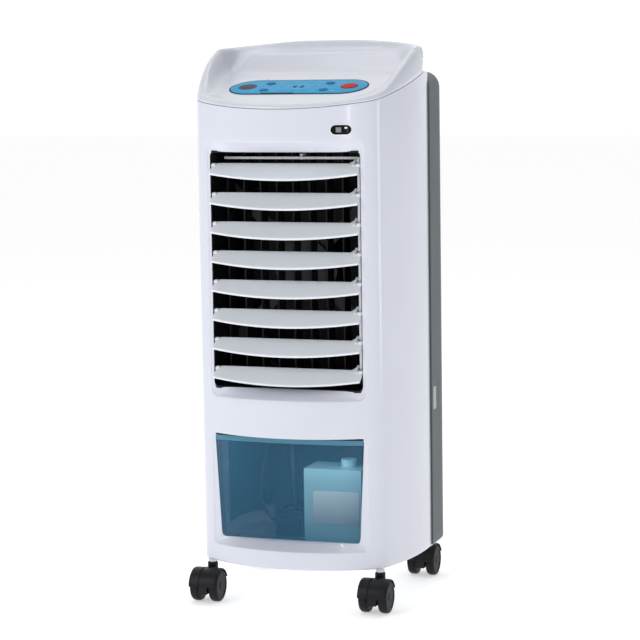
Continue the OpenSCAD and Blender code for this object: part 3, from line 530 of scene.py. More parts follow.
def make_front_shell():
    verts, faces = [], []

    def add(rings, closed=False):
        first = len(verts)
        for ring in rings:
            verts.extend(ring)
        faces.extend(bridge(rings, closed, first))

    reveal, louvre_rows = louvre_reveal()
    add(reveal, True)
    recess, window_rows = window_recess()
    add(recess, True)
    foot = [(3.0, 0.0), (1.6, 0.15), (0.7, 0.7), (0.2, 1.7), (0.0, 3.2)]
    # plain front bands: below the window, between the openings and over the louvres
    low = []
    for inset, up in foot:
        low.append([on_front(x, BODY_Z + up * MM, inset * MM) for x in front_columns])
    low += [[on_front(x, z) for x in front_columns] for z in rows_between(BODY_Z + 3.2 * MM, WINDOW_Z[0])[1:]]
    add(low)
    add([[on_front(x, z) for x in front_columns] for z in rows_between(WINDOW_Z[1], LOUVRE_Z[0])])
    upper = [[on_front(x, LOUVRE_Z[1] + (shell_top(front_y_at(x)) - LOUVRE_Z[1]) * t)
              for x in front_columns] for t in (0, 0.25, 0.5, 0.75, 0.97, 1)]
    upper.append([v + Vector((0, 1.0 * MM, 0.3 * MM)) for v in upper[-1]])
    add(upper)
    # sides, from the patches round the corners to the seam
    rows = (rows_between(BODY_Z + 3.2 * MM, WINDOW_Z[0]) + window_rows[1:]
            + rows_between(WINDOW_Z[1], LOUVRE_Z[0])[1:] + louvre_rows[1:])
    for s in (-1, 1):
        rings = []
        for inset, up in foot:
            rings.append([Vector((s * (p.x - n.x * inset * MM), p.y - n.y * inset * MM, BODY_Z + up * MM))
                          for p, n in side_run])
        for z in rows[1:]:
            rings.append([Vector((s * p.x, p.y, z)) for p, n in side_run])
        for t in (0.25, 0.5, 0.75, 0.97, 1):
            rings.append([Vector((s * p.x, p.y, LOUVRE_Z[1] + (shell_top(p.y) - LOUVRE_Z[1]) * t))
                          for p, n in side_run])
        rings.append([Vector((s * (p.x - n.x * MM), p.y - n.y * MM, shell_top(p.y) + 0.3 * MM))
                      for p, n in side_run])
        # rounded rear edge at the seam
        for inset, back in ((0.35, 0.25), (1.0, 0.4)):
            for ring in rings:
                ring.append(ring[-1] + Vector((-s * inset * MM * 0.6, back * MM, 0)))
        add(rings)
    shell = new_object("shell_front", verts, faces, sharp=40, merge=6e-5)
    thicken(shell, FRONT_WALL)
    return place(shell, WHITE, "root", "white_shell", "front_shell")


make_front_shell()


# ---- top cap ------------------------------------------------------------------------

CREST_INSET = 8.5 * MM
CROWN_R = 0.9
FLOOR_STEP = 3 * MM
FLOOR_GAP = 0.4 * MM
FLOOR_TOP = 686 * MM
FLOOR_SOFT = 10 * MM
RAMP_Y = 14 * MM
RAMP_SLOPE = 0.55
RAMP_BEND = 9
# (share of the way up, inset in millimetres) of the cap's outer face, then of its inner wall going down
CAP_OUTSIDE = ((0.2, 0.15), (0.42, 0.45), (0.62, 1.0), (0.78, 1.9), (0.89, 3.2), (0.96, 5.0), (0.99, 6.8),
               (1.0, CREST_INSET / MM))
CAP_INSIDE = ((0.02, 10.6), (0.08, 12.2), (0.22, 13.8), (0.42, 15.6), (0.62, 17.8), (0.8, 20.4),
              (0.92, 23.4), (0.98, 26.6), (1.0, 29.6))
CAP_MIDDLE = Vector((0, -40 * MM, 0))
CAP_RINGS = 20
# (distance behind the front, height) of the rim's crest, in millimetres
RIM = [(0, 619.0), (14, 622.5), (30, 629), (62, 643.5), (88, 660), (115, 675), (145, 687), (165, 692.5),
       (185, 696.5), (223, 700)]


def rim_z(y):
    """Height of the rim's crest at y, a smooth rise towards the back."""
    d = (y - FRONT_Y) / MM
    if d <= RIM[0][0]:
        return RIM[0][1] * MM
    for i in range(len(RIM) - 1):
        if d <= RIM[i + 1][0]:
            p0, p1, p2, p3 = RIM[max(i - 1, 0)], RIM[i], RIM[i + 1], RIM[min(i + 2, len(RIM) - 1)]
            t = (d - p1[0]) / (p2[0] - p1[0])
            m1 = (p2[1] - p0[1]) / (p2[0] - p0[0]) * (p2[0] - p1[0])
            m2 = (p3[1] - p1[1]) / (p3[0] - p1[0]) * (p2[0] - p1[0])
            return MM * ((2 * t**3 - 3 * t**2 + 1) * p1[1] + (t**3 - 2 * t**2 + t) * m1
                         + (-2 * t**3 + 3 * t**2) * p2[1] + (t**3 - t**2) * m2)
    return RIM[-1][1] * MM


def crown(x):
    """The rim's greatest height at x, under its shallow crown."""
    return TOP_Z - x * x / (2 * CROWN_R)


def crest_z(x, y):
    return min(rim_z(y), crown(x))


def floor_z(y):
    """The tray floor: a sloping panel that bends up towards the rear rim and levels out under it."""
    base = SEAM_Z0 + FLOOR_STEP + SLOPE * (y - FRONT_Y)
    past = max(0, (y - RAMP_Y) / MM)
    rise = base + MM * RAMP_SLOPE * past * past / (past + RAMP_BEND)
    over = rise - (FLOOR_TOP - FLOOR_SOFT)
    if over <= 0:
        return rise
    return FLOOR_TOP - FLOOR_SOFT + FLOOR_SOFT * math.tanh(over / FLOOR_SOFT)


def cap_base_z(y):
    step = smoothstep((y - 19.5 * MM) / (2 * MM))
    return (seam_z(y) + 0.6 * MM) * (1 - step) + (NECK_Z + 0.2 * MM) * step


def make_cap():
    def ring(inset, height):
        return [Vector((p.x - n.x * inset, p.y - n.y * inset, height(p, p - n * inset)))
                for p, n in cap_run]

    def crest(p, n):
        q = p - n * CREST_INSET
        return max(crest_z(q.x, q.y), floor_z(q.y) + FLOOR_GAP)

    crests = [crest(p, n) for p, n in cap_run]
    drops = [c - floor_z((p - n * CREST_INSET).y) for c, (p, n) in zip(crests, cap_run)]
    rings = [ring(1.2 * MM, lambda p, q: cap_base_z(p.y)),
             ring(0.3 * MM, lambda p, q: cap_base_z(p.y) + 0.1 * MM),
             ring(0.0, lambda p, q: cap_base_z(p.y) + 0.6 * MM)]
    # outer face, leaning in towards a broad rounded crest
    for t, inset in CAP_OUTSIDE:
        row = []
        for (p, n), top in zip(cap_run, crests):
            q = p - n * inset * MM
            base = cap_base_z(p.y) + 0.6 * MM
            row.append(Vector((q.x, q.y, base + (top - base) * t)))
        rings.append(row)
    # inner wall, from the crest down to the tray floor with a wide fillet
    for t, inset in CAP_INSIDE:
        row = []
        for (p, n), drop in zip(cap_run, drops):
            q = p - n * inset * MM
            row.append(Vector((q.x, q.y, floor_z(q.y) + drop * (1 - t))))
        rings.append(row)
    last = rings[-1]
    centre = CAP_MIDDLE
    for k in range(1, CAP_RINGS):
        share = 1 - k / CAP_RINGS
        rings.append([Vector((centre.x + (v.x - centre.x) * share, centre.y + (v.y - centre.y) * share,
                              floor_z(centre.y + (v.y - centre.y) * share))) for v in last])
    verts = [v for r in rings for v in r]
    faces = bridge(rings)
    middle = len(verts)
    verts.append(Vector((centre.x, centre.y, floor_z(centre.y))))
    n = len(rings[0])
    faces += [(middle - n + i, middle - n + (i + 1) % n, middle) for i in range(n)]
    cap = new_object("cap_top", verts, faces, sharp=60)
    modify(cap, "SOLIDIFY", thickness=FRONT_WALL, offset=-1)
    apply_modifiers(cap)
    return place(cap, CAP_WHITE, "root", "white_shell", "top_cap")


make_cap()


# ---- rear housing --------------------------------------------------------------------

HATCH_HALF = 104 * MM
HATCH_TOP = 227 * MM
GRILLE_HALF = 82 * MM
GRILLE_Z = (240 * MM, 632 * MM)
ROUND = 20 * MM
CLIP_LOW, CLIP_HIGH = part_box("grille_clip")
CLIP_GAP = 0.5 * MM
BACK_Y = 100 * MM
NECK_Y = 21 * MM
REAR_WALL = 2.4 * MM


def rear_run():
    ys = (rows_between(SEAM_Y, CLIP_LOW.y - CLIP_GAP, 4 * MM)
          + rows_between(CLIP_LOW.y - CLIP_GAP, CLIP_HIGH.y + CLIP_GAP, 7 * MM)[1:]
          + rows_between(CLIP_HIGH.y + CLIP_GAP, REAR_C.y, 5 * MM)[1:])
    right = [(Vector((REAR_HALF, y)), Vector((1, 0))) for y in ys]
    hatch_a = math.acos((HATCH_HALF - REAR_C.x) / REAR_R)
    right = joined(right, arc(REAR_C, REAR_R, 0, hatch_a, 20),
                   arc(REAR_C, REAR_R, hatch_a, math.pi / 2, 6))
    flat = [REAR_C.x, GRILLE_HALF] + [GRILLE_HALF * (1 - i / 12) for i in range(1, 12)]
    half = joined(right, [(Vector((x, REAR_Y)), Vector((0, 1))) for x in flat])
    return half + [(Vector((0, REAR_Y)), Vector((0, 1)))] + mirror_run(half)


def make_rear_housing():
    run = rear_run()
    levels = ([(2.0 * MM, 54 * MM), (0.6 * MM, 54.4 * MM), (0, 56 * MM)]
              + [(0, z) for z in rows_between(56 * MM, HATCH_TOP, 10 * MM)[1:]]
              + [(0, CLIP_LOW.z - CLIP_GAP), (0, GRILLE_Z[0]), (0, CLIP_HIGH.z + CLIP_GAP)]
              + [(0, z) for z in rows_between(CLIP_HIGH.z + CLIP_GAP, GRILLE_Z[1], 14 * MM)[1:]]
              + [(0, SHOULDER_Z - ROUND)]
              + [(ROUND * (1 - math.cos(a)), SHOULDER_Z - ROUND + ROUND * math.sin(a))
                 for a in [math.pi / 2 * i / 10 for i in range(1, 11)]]
              + [(32 * MM, SHOULDER_Z), (44 * MM, SHOULDER_Z)])
    rings = [[Vector((p.x - n.x * t, p.y - n.y * t, z)) for p, n in run] for t, z in levels]
    verts = [v for r in rings for v in r]
    faces = []
    n = len(run)
    for k in range(len(rings) - 1):
        z = (levels[k][1] + levels[k + 1][1]) / 2
        for i in range(n - 1):
            mid = (run[i][0] + run[i + 1][0]) / 2
            at_back = mid.y > BACK_Y
            if at_back and z < HATCH_TOP and abs(mid.x) < HATCH_HALF:
                continue
            if at_back and GRILLE_Z[0] < z < GRILLE_Z[1] and abs(mid.x) < GRILLE_HALF:
                continue
            if (mid.x > 0 and CLIP_LOW.y - CLIP_GAP < mid.y < CLIP_HIGH.y + CLIP_GAP
                    and CLIP_LOW.z - CLIP_GAP < z < CLIP_HIGH.z + CLIP_GAP):
                continue
            a = k * n + i
            faces.append((a, a + 1, a + 1 + n, a + n))
    housing = new_object("housing_rear", verts, faces, sharp=40)
    thicken(housing, REAR_WALL)
    modify(housing, "BEVEL", width=0.6 * MM, segments=2, limit_method="ANGLE", angle_limit=math.radians(60))
    neck = [p - n * 3 * MM for p, n in cap_run if p.y > NECK_Y]
    ring = [[Vector((p.x, p.y, z)) for p in neck] for z in (SHOULDER_Z - 2 * MM, NECK_Z - 0.3 * MM)]
    wall = loft("housing_neck", ring, closed=False, cap=(False, False))
    thicken(wall, REAR_WALL)
    place(wall, GREY, "root", "grey_housing", "rear_housing")
    return place(housing, GREY, "root", "grey_housing", "rear_housing")


make_rear_housing()


# ---- louvres ----------------------------------------------------------------------------

LOUVRES = 8
JOINTS = {j["child"]: j for j in frame["record"]["behaviour"]["joints"]}
TILT = math.radians(37)
BLADE_HALF = 95.5 * MM
BLADE_MID = 28 * MM
BLADE_END = 17 * MM
BLADE_BACK = 4 * MM
SHOULDER_X = 91.2 * MM
ARM_X = 86 * MM
ARM = 10 * MM
ARM_ANGLE = math.radians(56)
# (radius, place along X) of a blade's link pin, measured from its ear, and of its end boss, in millimetres
LINK_PIN = [(0, 0), (1.5, 0), (1.5, 7.0), (1.9, 7.1), (1.9, 7.5), (1.1, 8.0), (0, 8.0)]
PIVOT_BOSS = [(0, 91), (2.5, 91), (2.9, 91.4), (2.9, 95.6), (2.5, 96), (2.0, 96), (2.0, 98.6), (1.6, 99),
              (0, 99)]


def blade_reach(x):
    """Reach of the blade in front of its pivot at x: a shallow arc, deepest in the middle."""
    rise = BLADE_MID - BLADE_END
    r = (BLADE_HALF**2 + rise**2) / (2 * rise)
    return BLADE_MID - r + math.sqrt(r * r - x * x)


def blade_section(reach, back, scale):
    """Section of a blade as (towards the back, up) pairs, once round."""
    t = 1.05 * MM * scale
    nose = 1.65 * MM * scale
    front = -reach + nose
    pts = [(back - t + t * math.sin(a), t * math.cos(a)) for a in [math.pi * i / 6 for i in range(7)]]
    under = [(0.0, -2.5), (-1.6, -2.1), (-3.4, -1.35), (-6.0, -1.05)]
    pts += [(2.4 * MM, -1.9 * MM * scale)] + [(u * MM, v * MM * scale) for u, v in under]
    pts += [(-6.0 * MM + (front + 6.0 * MM) * k, -t - (nose - t) * k**3) for k in (0.35, 0.7, 0.9)]
    pts += [(front - nose * math.sin(a), -nose * math.cos(a)) for a in [math.pi * i / 8 for i in range(9)]]
    pts += [(-6.0 * MM + (front + 6.0 * MM) * k, t + (nose - t) * k**3) for k in (0.9, 0.7, 0.35)]
    pts += [(-4 * MM, t * 0.96), (0.0, t * 0.96)]
    return pts


def at_pivot(pivot, angle, x, u, v):
    """A point u back and v up in a blade's own frame, turned by its tilt about the pivot."""
    return Vector((x, pivot.y + u * math.cos(angle) - v * math.sin(angle),
                   pivot.z + u * math.sin(angle) + v * math.cos(angle)))


def plate(name, outline, x0, x1, edge):
    """A flat plate across X with softened rims. outline is a list of (y, z) points."""
    cy = sum(y for y, z in outline) / len(outline)
    cz = sum(z for y, z in outline) / len(outline)
    rings = []
    for x, shrink in ((x0, edge), (x0 + edge, 0), (x1 - edge, 0), (x1, edge)):
        ring = []
        for y, z in outline:
            d = Vector((y - cy, z - cz))
            d *= 1 - shrink / d.length
            ring.append(Vector((x, cy + d.x, cz + d.y)))
        rings.append(ring)
    return loft(name, rings, sharp=30)


def make_ear(pivot):
    """Ear that rises behind the blade's right end, its pin for the link, and the rib that props it."""
    tip_y, tip_z = pivot.y + ARM * math.sin(ARM_ANGLE), pivot.z + ARM * math.cos(ARM_ANGLE)
    boss = 2.7 * MM
    side = (math.cos(ARM_ANGLE) * boss, -math.sin(ARM_ANGLE) * boss)
    outline = [(pivot.y + side[0] * 1.5, pivot.z + side[1] * 1.2)]
    for k in range(9):
        a = -ARM_ANGLE + math.pi * k / 8
        outline.append((tip_y + boss * math.cos(a), tip_z + boss * math.sin(a)))
    outline.append((pivot.y - side[0] * 1.9, pivot.z - side[1] * 0.6))
    ear = plate("ear", outline, ARM_X, ARM_X + 2.6 * MM, 0.3 * MM)
    pin = lathe("pin", [(r * MM, ARM_X + reach * MM) for r, reach in LINK_PIN], (0, tip_y, tip_z), "X", 20)
    foot = Vector((ARM_X - 4.6 * MM, pivot.y + 2.6 * MM, pivot.z + 2.2 * MM))
    thick = 0.8 * MM
    rib = []
    for d in (-thick, thick):
        shift = Vector((0, d * math.cos(ARM_ANGLE), -d * math.sin(ARM_ANGLE)))
        rib.append([foot + shift, Vector((ARM_X + 0.3 * MM, tip_y, tip_z)) + shift,
                    Vector((ARM_X + 0.3 * MM, pivot.y + 1.5 * MM, pivot.z + 0.5 * MM)) + shift])
    return [ear, pin, loft("rib", rib, sharp=30)]


def make_louvre(i):
    body = f"louvre_{i + 1}"
    pivot = Vector(JOINTS[body]["pos_m"])
    inner = SHOULDER_X - 0.8 * MM
    ends = [(BLADE_HALF, 0.2, 0.72), (BLADE_HALF - 0.4 * MM, 0.4, 0.92), (BLADE_HALF - 1.2 * MM, 0.5, 1),
            (SHOULDER_X + 0.6 * MM, 0.6, 1), (SHOULDER_X, 1.4, 1), (inner, BLADE_BACK / MM - 0.4, 1)]
    stations = [(-x, back, scale) for x, back, scale in ends]
    steps = 44
    stations += [(-inner + 2 * inner * k / steps, BLADE_BACK / MM, 1) for k in range(1, steps)]
    stations += list(reversed(ends))
    rings = [[at_pivot(pivot, TILT, x, u, v) for u, v in blade_section(blade_reach(x), back * MM, scale)]
             for x, back, scale in stations]
    parts = [loft(f"blade_{i + 1}", rings, sharp=50)]
    for s in (-1, 1):
        boss = lathe("pivot_boss", [(r * MM, x * MM) for r, x in PIVOT_BOSS], (0, 0, 0), "X", 28)
        boss.data.transform(Matrix.Translation((0, pivot.y, pivot.z)) @ Matrix.Scale(s, 4, (1, 0, 0)))
        parts.append(boss)
    parts += make_ear(pivot)
    louvre = join(f"louvre_blade_{i + 1}", parts)
    return place(louvre, BLADE_WHITE_PAINTED_LIGHT, body, "white_shell", body)


for index in range(LOUVRES):
    make_louvre(index)


# ---- control panel -------------------------------------------------------------------------

PANEL_C = Vector((0, -51 * MM, floor_z(-51 * MM)))
PANEL_TILT = math.atan(SLOPE)
PANEL_UP = Vector((0, math.cos(PANEL_TILT), math.sin(PANEL_TILT)))
PANEL_OUT = Vector((0, -math.sin(PANEL_TILT), math.cos(PANEL_TILT)))
BUTTONS = {"power_button": (66, 0, 11), "speed_button": (-41, 14, 5.5), "swing_button": (-41, -15, 5.5),
           "cool_button": (37, 14, 5.5), "timer_button": (37, -15, 5.5)}


def on_panel(u, v, w=0.0):
    """A point on the sloping panel: u to the right, v up the slope, w out of it, in millimetres."""
    return PANEL_C + Vector((u * MM, 0, 0)) + PANEL_UP * (v * MM) + PANEL_OUT * (w * MM)


def stadium(half_w, half_h, steps=16):
    """Outline of a pill, once round."""
    out = []
    for s, start in ((1, -math.pi / 2), (-1, math.pi / 2)):
        for i in range(steps + 1):
            a = start + math.pi * i / steps
            out.append((s * (half_w - half_h) + half_h * math.cos(a), half_h * math.sin(a)))
    return out


def panel_slab(name, outline, levels, sharp=35):
    """A slab on the panel. outline(grow) gives its edge; levels are (grow, height) pairs."""
    rings = [[on_panel(u, v, w) for u, v in outline(grow)] for grow, w in levels]
    return loft(name, rings, sharp=sharp)


def disc(u, v, r, steps=40):
    return lambda grow: [(u + (r + grow) * math.cos(2 * math.pi * i / steps),
                          v + (r + grow) * math.sin(2 * math.pi * i / steps)) for i in range(steps)]


def bar(u, v, half_w, half_h):
    """Outline of a small bar with rounded corners, about (u, v)."""
    def outline(grow):
        return [(u + a, v + b) for a, b in stadium(half_w + grow, half_h + grow, 6)]
    return outline


def printed(name, outlines, mat, low=0.74, high=0.86):
    """Marks printed on the overlay, as thin raised pads."""
    pads = [panel_slab("pad", o, [(0, low), (0, high - 0.02), (-0.06, high)]) for o in outlines]
    return place(join(name, pads), mat, "root", "overlay_cyan")


def overlay_outline(grow):
    """The overlay's edge: a pill of 180 by 63 mm."""
    return stadium(90 + grow, 31.5 + grow, 40)


def make_panel():
    edge = panel_slab("overlay_edge", overlay_outline,
                      [(0, -0.4), (0, 0.5), (-0.15, 0.68), (-0.5, 0.74), (-2.2, 0.74)])
    place(edge, INK, "root", "overlay_cyan")
    face = panel_slab("overlay_face", overlay_outline, [(-1.7, 0.2), (-1.7, 0.72), (-1.85, 0.8)])
    place(face, CYAN, "root", "overlay_cyan", "control_overlay")
    rims = [panel_slab("rim", disc(u, v, r), [(1.5, 0.7), (1.5, 0.86), (1.3, 0.95), (0.75, 0.95), (0.5, 0.85),
                                              (0.5, 0.7)]) for u, v, r in BUTTONS.values()]
    place(join("button_rims", rims), CYAN, "root", "overlay_cyan")
    for name, (u, v, r) in BUTTONS.items():
        cap = panel_slab(name + "_cap", disc(u, v, r, 48),
                         [(-0.1, 0.84), (0, 0.88), (0, 1.2), (-0.15, 1.5), (-0.5, 1.68), (-1.3, 1.76),
                          (-r * 0.5, 1.8), (-r * 0.9, 1.8)], sharp=60)
        red = name == "power_button"
        place(cap, RED if red else BLUE, name, "button_red" if red else "button_blue", name)
    receiver = panel_slab("receiver_window", disc(-67, 0, 11.5, 48),
                          [(0.2, 0.6), (0.2, 0.88), (-0.2, 1.0), (-0.8, 1.0), (-1.2, 0.86), (-3, 0.98),
                           (-6, 1.05), (-10.5, 1.08)], sharp=40)
    place(receiver, RECEIVER, "root", "sensor_lens")
    # pale legends and lamps between the buttons: plain dashes, dots and rings, no lettering
    pale = [bar(u, v, w, h) for u, v, w, h in (
        (-27, 20, 4.5, 0.7), (-27, 16.5, 3, 0.6), (24, 20, 4.5, 0.7), (24, 16.5, 3, 0.6),
        (-27, -17, 3.5, 0.7), (24, -17, 3.5, 0.7), (-56, 18, 4, 0.7), (-54, -19, 4, 0.7), (52, 19, 4, 0.7),
        (50, -19, 4, 0.7), (-10, 22, 4, 0.6), (8, 22, 4, 0.6))]
    pale += [disc(u, v, 1.3, 16) for u in (-33, -24, -15, 15, 24, 33) for v in (6, -6)]
    pale += [bar(u, v, 6.5, 0.8) for u, v in ((0, 9), (0, -9))]
    pale += [bar(-9, 0, 0.9, 0.8), bar(9, 0, 0.9, 0.8), bar(-4.5, 0, 2.2, 4.5), bar(4.5, 0, 2.2, 4.5)]
    printed("overlay_legends", pale, MARK)
    dim = [disc(u, 0, 2.3, 20) for u in (-22, 22)]
    dim += [bar(u, v, 2.6, 0.8) for u, v in ((-14, 16), (12, 16), (-14, -15), (12, -15), (-48, 3), (46, 3))]
    printed("overlay_lamps", dim, DIM_MARK)
    printed("overlay_slot", [bar(-19, -28.2, 22, 1.5)], INK, 0.74, 0.9)


make_panel()


# ---- sensor window --------------------------------------------------------------------------

SENSOR = (77 * MM, 592 * MM)


def make_sensor():
    """Pill-shaped sensor window with a pale bezel, a grey receiver and a painted highlight: a small pale pill
    on the black lens.
    """
    def ring(half_w, half_h, out, du=0.0, dv=0.0):
        return [on_front(SENSOR[0] + (u + du) * MM, SENSOR[1] + (v + dv) * MM, -out * MM)
                for u, v in stadium(half_w, half_h, 16)]

    bezel = loft("sensor_bezel", [ring(12.6 + g, 6.6 + g, o) for g, o in (
        (0.5, -0.3), (0.5, 0.1), (0.2, 0.45), (-0.3, 0.6), (-0.8, 0.5), (-1.0, 0.1))], sharp=50)
    place(bezel, PALE_BEZEL_AND_GLINT, "root", "white_shell")
    lens = loft("sensor_lens_face", [ring(11.7 + g, 5.7 + g, o) for g, o in (
        (0, -1.0), (0, 0.15), (-0.3, 0.3), (-2, 0.4), (-4.5, 0.45))], sharp=50)
    place(lens, LENS_BLACK, "root", "sensor_lens", "sensor_window")

    def window(g, out):
        return [on_front(SENSOR[0] + (u - 2.6) * MM, SENSOR[1] + v * MM, -out * MM)
                for u, v in ((-3 - g, -3 - g), (3 + g, -3 - g), (3 + g, 3 + g), (-3 - g, 3 + g))]

    block = loft("sensor_receiver", [window(0, 0.3), window(0, 0.5), window(-0.2, 0.58)], sharp=30)
    place(block, SENSOR_GREY, "root", "sensor_lens")
    # painted highlight: a small pale pill on the lens stands in for the glint of light on it
    lamp_and_glint = loft("sensor_painted_glint", [ring(1.7 + g, 1.1 + g, o, du=5.6, dv=2.2) for g, o in (
        (0, 0.3), (0, 0.5), (-0.3, 0.6))], sharp=50)
    place(lamp_and_glint, PALE_BEZEL_AND_GLINT, "root", "sensor_lens")


make_sensor()


# ---- window trims -------------------------------------------------------------------------------

TANK_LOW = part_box("water_tank")[0]
ICE_LOW, ICE_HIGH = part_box("ice_box")
BOW_R = 588 * MM
WINDOW_HEAD = 215 * MM


def bow_y(x):
    """The bowed window's front face at x."""
    return TANK_LOW.y + BOW_R - math.sqrt(BOW_R * BOW_R - x * x)


def window_strip(name, half, z0, z1, proud, mat, body, slot):
    """A strip along the window's face, between two heights."""
    rings = []
    for i in range(25):
        x = -half + 2 * half * i / 24
        y = bow_y(x)
        rings.append([Vector((x, y - proud, z0)), Vector((x, y - proud, z1)), Vector((x, y + 0.4 * MM, z1)),
                      Vector((x, y + 0.4 * MM, z0))])
    return place(loft(name, rings, sharp=30), mat, body, slot)


# painted shadow: a thin black strip along the window's head stands in for the shadow in the gap above the
# tank front
window_strip("window_head_painted_shadow", 96.9 * MM, WINDOW_HEAD - 2.0 * MM, WINDOW_HEAD - 0.1 * MM, 0.5 * MM, BLACK_PLASTIC_AND_SHADE,
             "water_tank", "black_plastic")
# window_rim: the tank's top rim, lighter than the tank; the lighter tone is painted light
window_strip("window_rim", 96.2 * MM, WINDOW_HEAD - 8.5 * MM, WINDOW_HEAD - 2.4 * MM, 0.3 * MM, RIM_BLUE_PAINTED_LIGHT,
             "water_tank", "tank_blue")


def make_ice_panel():
    """Raised pale panel on the ice box's front."""
    low = ICE_LOW + Vector((12 * MM, 0, 34 * MM))
    high = Vector((ICE_HIGH.x - 3 * MM, 0, ICE_LOW.z + 76 * MM))
    rings = []
    for inset, y in ((0, 0.3), (0, -0.35), (0.4, -0.6)):
        g = inset * MM
        rings.append([Vector((x, ICE_LOW.y + y * MM, z)) for x, z in (
            (low.x + g, low.z + g), (high.x - g, low.z + g),
            (high.x - g, high.z - g), (low.x + g, high.z - g))])
    place(loft("ice_panel", rings), LABEL, "water_tank", "ice_box_blue")


make_ice_panel()


# ---- pump line and cable ---------------------------------------------------------------------

HOSE_ROUTE = [(-40, 20, 111.1), (-40, 20, 122), (-41, 21, 138), (-44, 26, 160), (-49, 37, 185),
              (-54, 50, 205), (-56, 58, 222), (-56, 60, 240), (-60, 61, 262), (-104, 62, 300),
              (-116, 62.5, 350), (-118, 63, 450), (-118, 63, 560), (-116, 63, 610), (-110, 64, 632),
              (-104, 72, 643), (-96, 86, 643), (-92, 96, 632), (-92, 97, 612)]
CABLE_ROUTE = [(-61.2, 20, 80), (-67, 19, 79), (-76, 12, 92), (-82, 8, 120), (-80, 16, 155), (-76, 36, 190),
               (-74, 54, 212), (-74, 60, 228), (-76, 57, 243), (-80, 38, 251), (-90, 14, 260),
               (-106, 2, 286), (-120, -2, 330), (-124, -2, 420), (-122, -6, 540), (-108, -24, 592),
               (-84, -42, 616), (-80, -44, 631)]


def smooth_route(points, steps):
    """Points along a Catmull-Rom curve through the route."""
    pts = [Vector(p) * MM for p in points]
    pts = [pts[0]] + pts + [pts[-1]]
    out = []
    for i in range(1, len(pts) - 2):
        a, b, c, d = pts[i - 1:i + 3]
        for k in range(steps):
            t = k / steps
            out.append(0.5 * (2 * b + (c - a) * t + (2 * a - 5 * b + 4 * c - d) * t * t
                              + (3 * b - a - 3 * c + d) * t ** 3))
    return out + [pts[-1]]


def make_tube(name, route, r, sides, mat, replaced):
    """A round line along its route, from the body above down to the pump below."""
    path = smooth_route(route, 5)
    across = Vector((1, 0, 0))
    rings = []
    for i, p in enumerate(path):
        ahead = (path[min(i + 1, len(path) - 1)] - path[max(i - 1, 0)]).normalized()
        across = (across - ahead * across.dot(ahead)).normalized()
        other = ahead.cross(across)
        rings.append([p + r * (math.cos(2 * math.pi * k / sides) * across
                               + math.sin(2 * math.pi * k / sides) * other) for k in range(sides)])
    tube = loft(name, rings, sharp=60)
    paint(tube, mat)
    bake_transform(tube)
    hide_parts(replaced)


make_tube("line_to_pad", HOSE_ROUTE, 5 * MM, 18, HOSE, "pump_hose")
make_tube("cable_to_board", CABLE_ROUTE, 1.8 * MM, 12, HOSE, "pump_cable")


# ---- carried-over CAD nodes ----------------------------------------------------------------

def dress(names, mat, bevel=0.3 * MM):
    for name in names:
        obj = NODES[name]
        paint(obj, mat)
        obj.data.shade_smooth()
        obj.data.set_sharp_from_angle(angle=math.radians(30))
        if bevel:
            modify(obj, "BEVEL", width=bevel, segments=2, limit_method="ANGLE",
                   angle_limit=math.radians(40), use_clamp_overlap=True)


dress(["base_tray", "drip_tray"], INNER_WHITE, 0)
# painted shade: the duct frame, fan plate and fan wheel are painted black so the space behind the louvres
# reads dark
dress(["louvre_frame", "fan_plate", "fan_wheel"], BLACK_PLASTIC_AND_SHADE, 0.3 * MM)
dress([f"vane_{i + 1}" for i in range(9)], BLACK_PLASTIC_AND_SHADE, 0.2 * MM)
dress(["louvre_link", "vane_link", "swing_crank"], BLADE_WHITE_PAINTED_LIGHT, 0.3 * MM)
dress(["swing_motor", "shell_screws", "caster_stems"], STEEL, 0)
# painted shade: the fan motor takes the darkened steel so it shows no bright glints behind the louvres
dress(["fan_motor"], MOTOR_STEEL_PAINTED_SHADE, 0.3 * MM)
dress(["cooling_pad"], PAD, 0)
dress(["control_board"], BOARD, 0)
dress(["cord_gland"], BLACK_PLASTIC_AND_SHADE, 0)
dress(["pump"], PUMP, 0.8 * MM)
dress(["ice_box"], ICE, 2.5 * MM)
dress(["rear_grille", "tank_panel"], GREY, 0.4 * MM)
dress(["dust_filter"], MESH, 0)
dress(["grille_clip", "tank_latch"], CLIP, 0.4 * MM)
dress(["water_tank"], TANK, 0.8 * MM)


# ---- casters ---------------------------------------------------------------------------------

# in millimetres: (radius, distance from the caster's middle) of a wheel, (distance from the middle,
# outer radius) over a fender's rounded side, and (radius, height) of the neck
TYRE_PROFILE = [(0, 6.8), (16.8, 6.8), (18.9, 7.4), (19.8, 9.0), (20, 11), (20, 14.6), (19.6, 16.4),
                (18.4, 17.8), (16.6, 18.4), (15.0, 18.4), (14.2, 17.7), (5.2, 17.4), (4.6, 18.1), (0, 18.2)]
FENDER_EDGE = ((5.4, 22.2), (15.6, 22.2), (17.2, 22.0), (18.2, 21.5), (18.5, 21.0))
NECK_PROFILE = [(0, 26), (6.0, 26), (6.5, 27), (6.5, 45.4), (5.8, 46.3), (0, 46.3)]
FENDER_INNER_R = 20.6 * MM
BLOCK_R = 21.4 * MM
BLOCK_HALF = 5.9 * MM


def arc_yz(centre, r, low, high, n):
    """Points (y, z) on an arc about the axle, in degrees from the rear."""
    return [(centre.y + r * math.cos(math.radians(low + (high - low) * k / n)),
             centre.z + r * math.sin(math.radians(low + (high - low) * k / n))) for k in range(n + 1)]


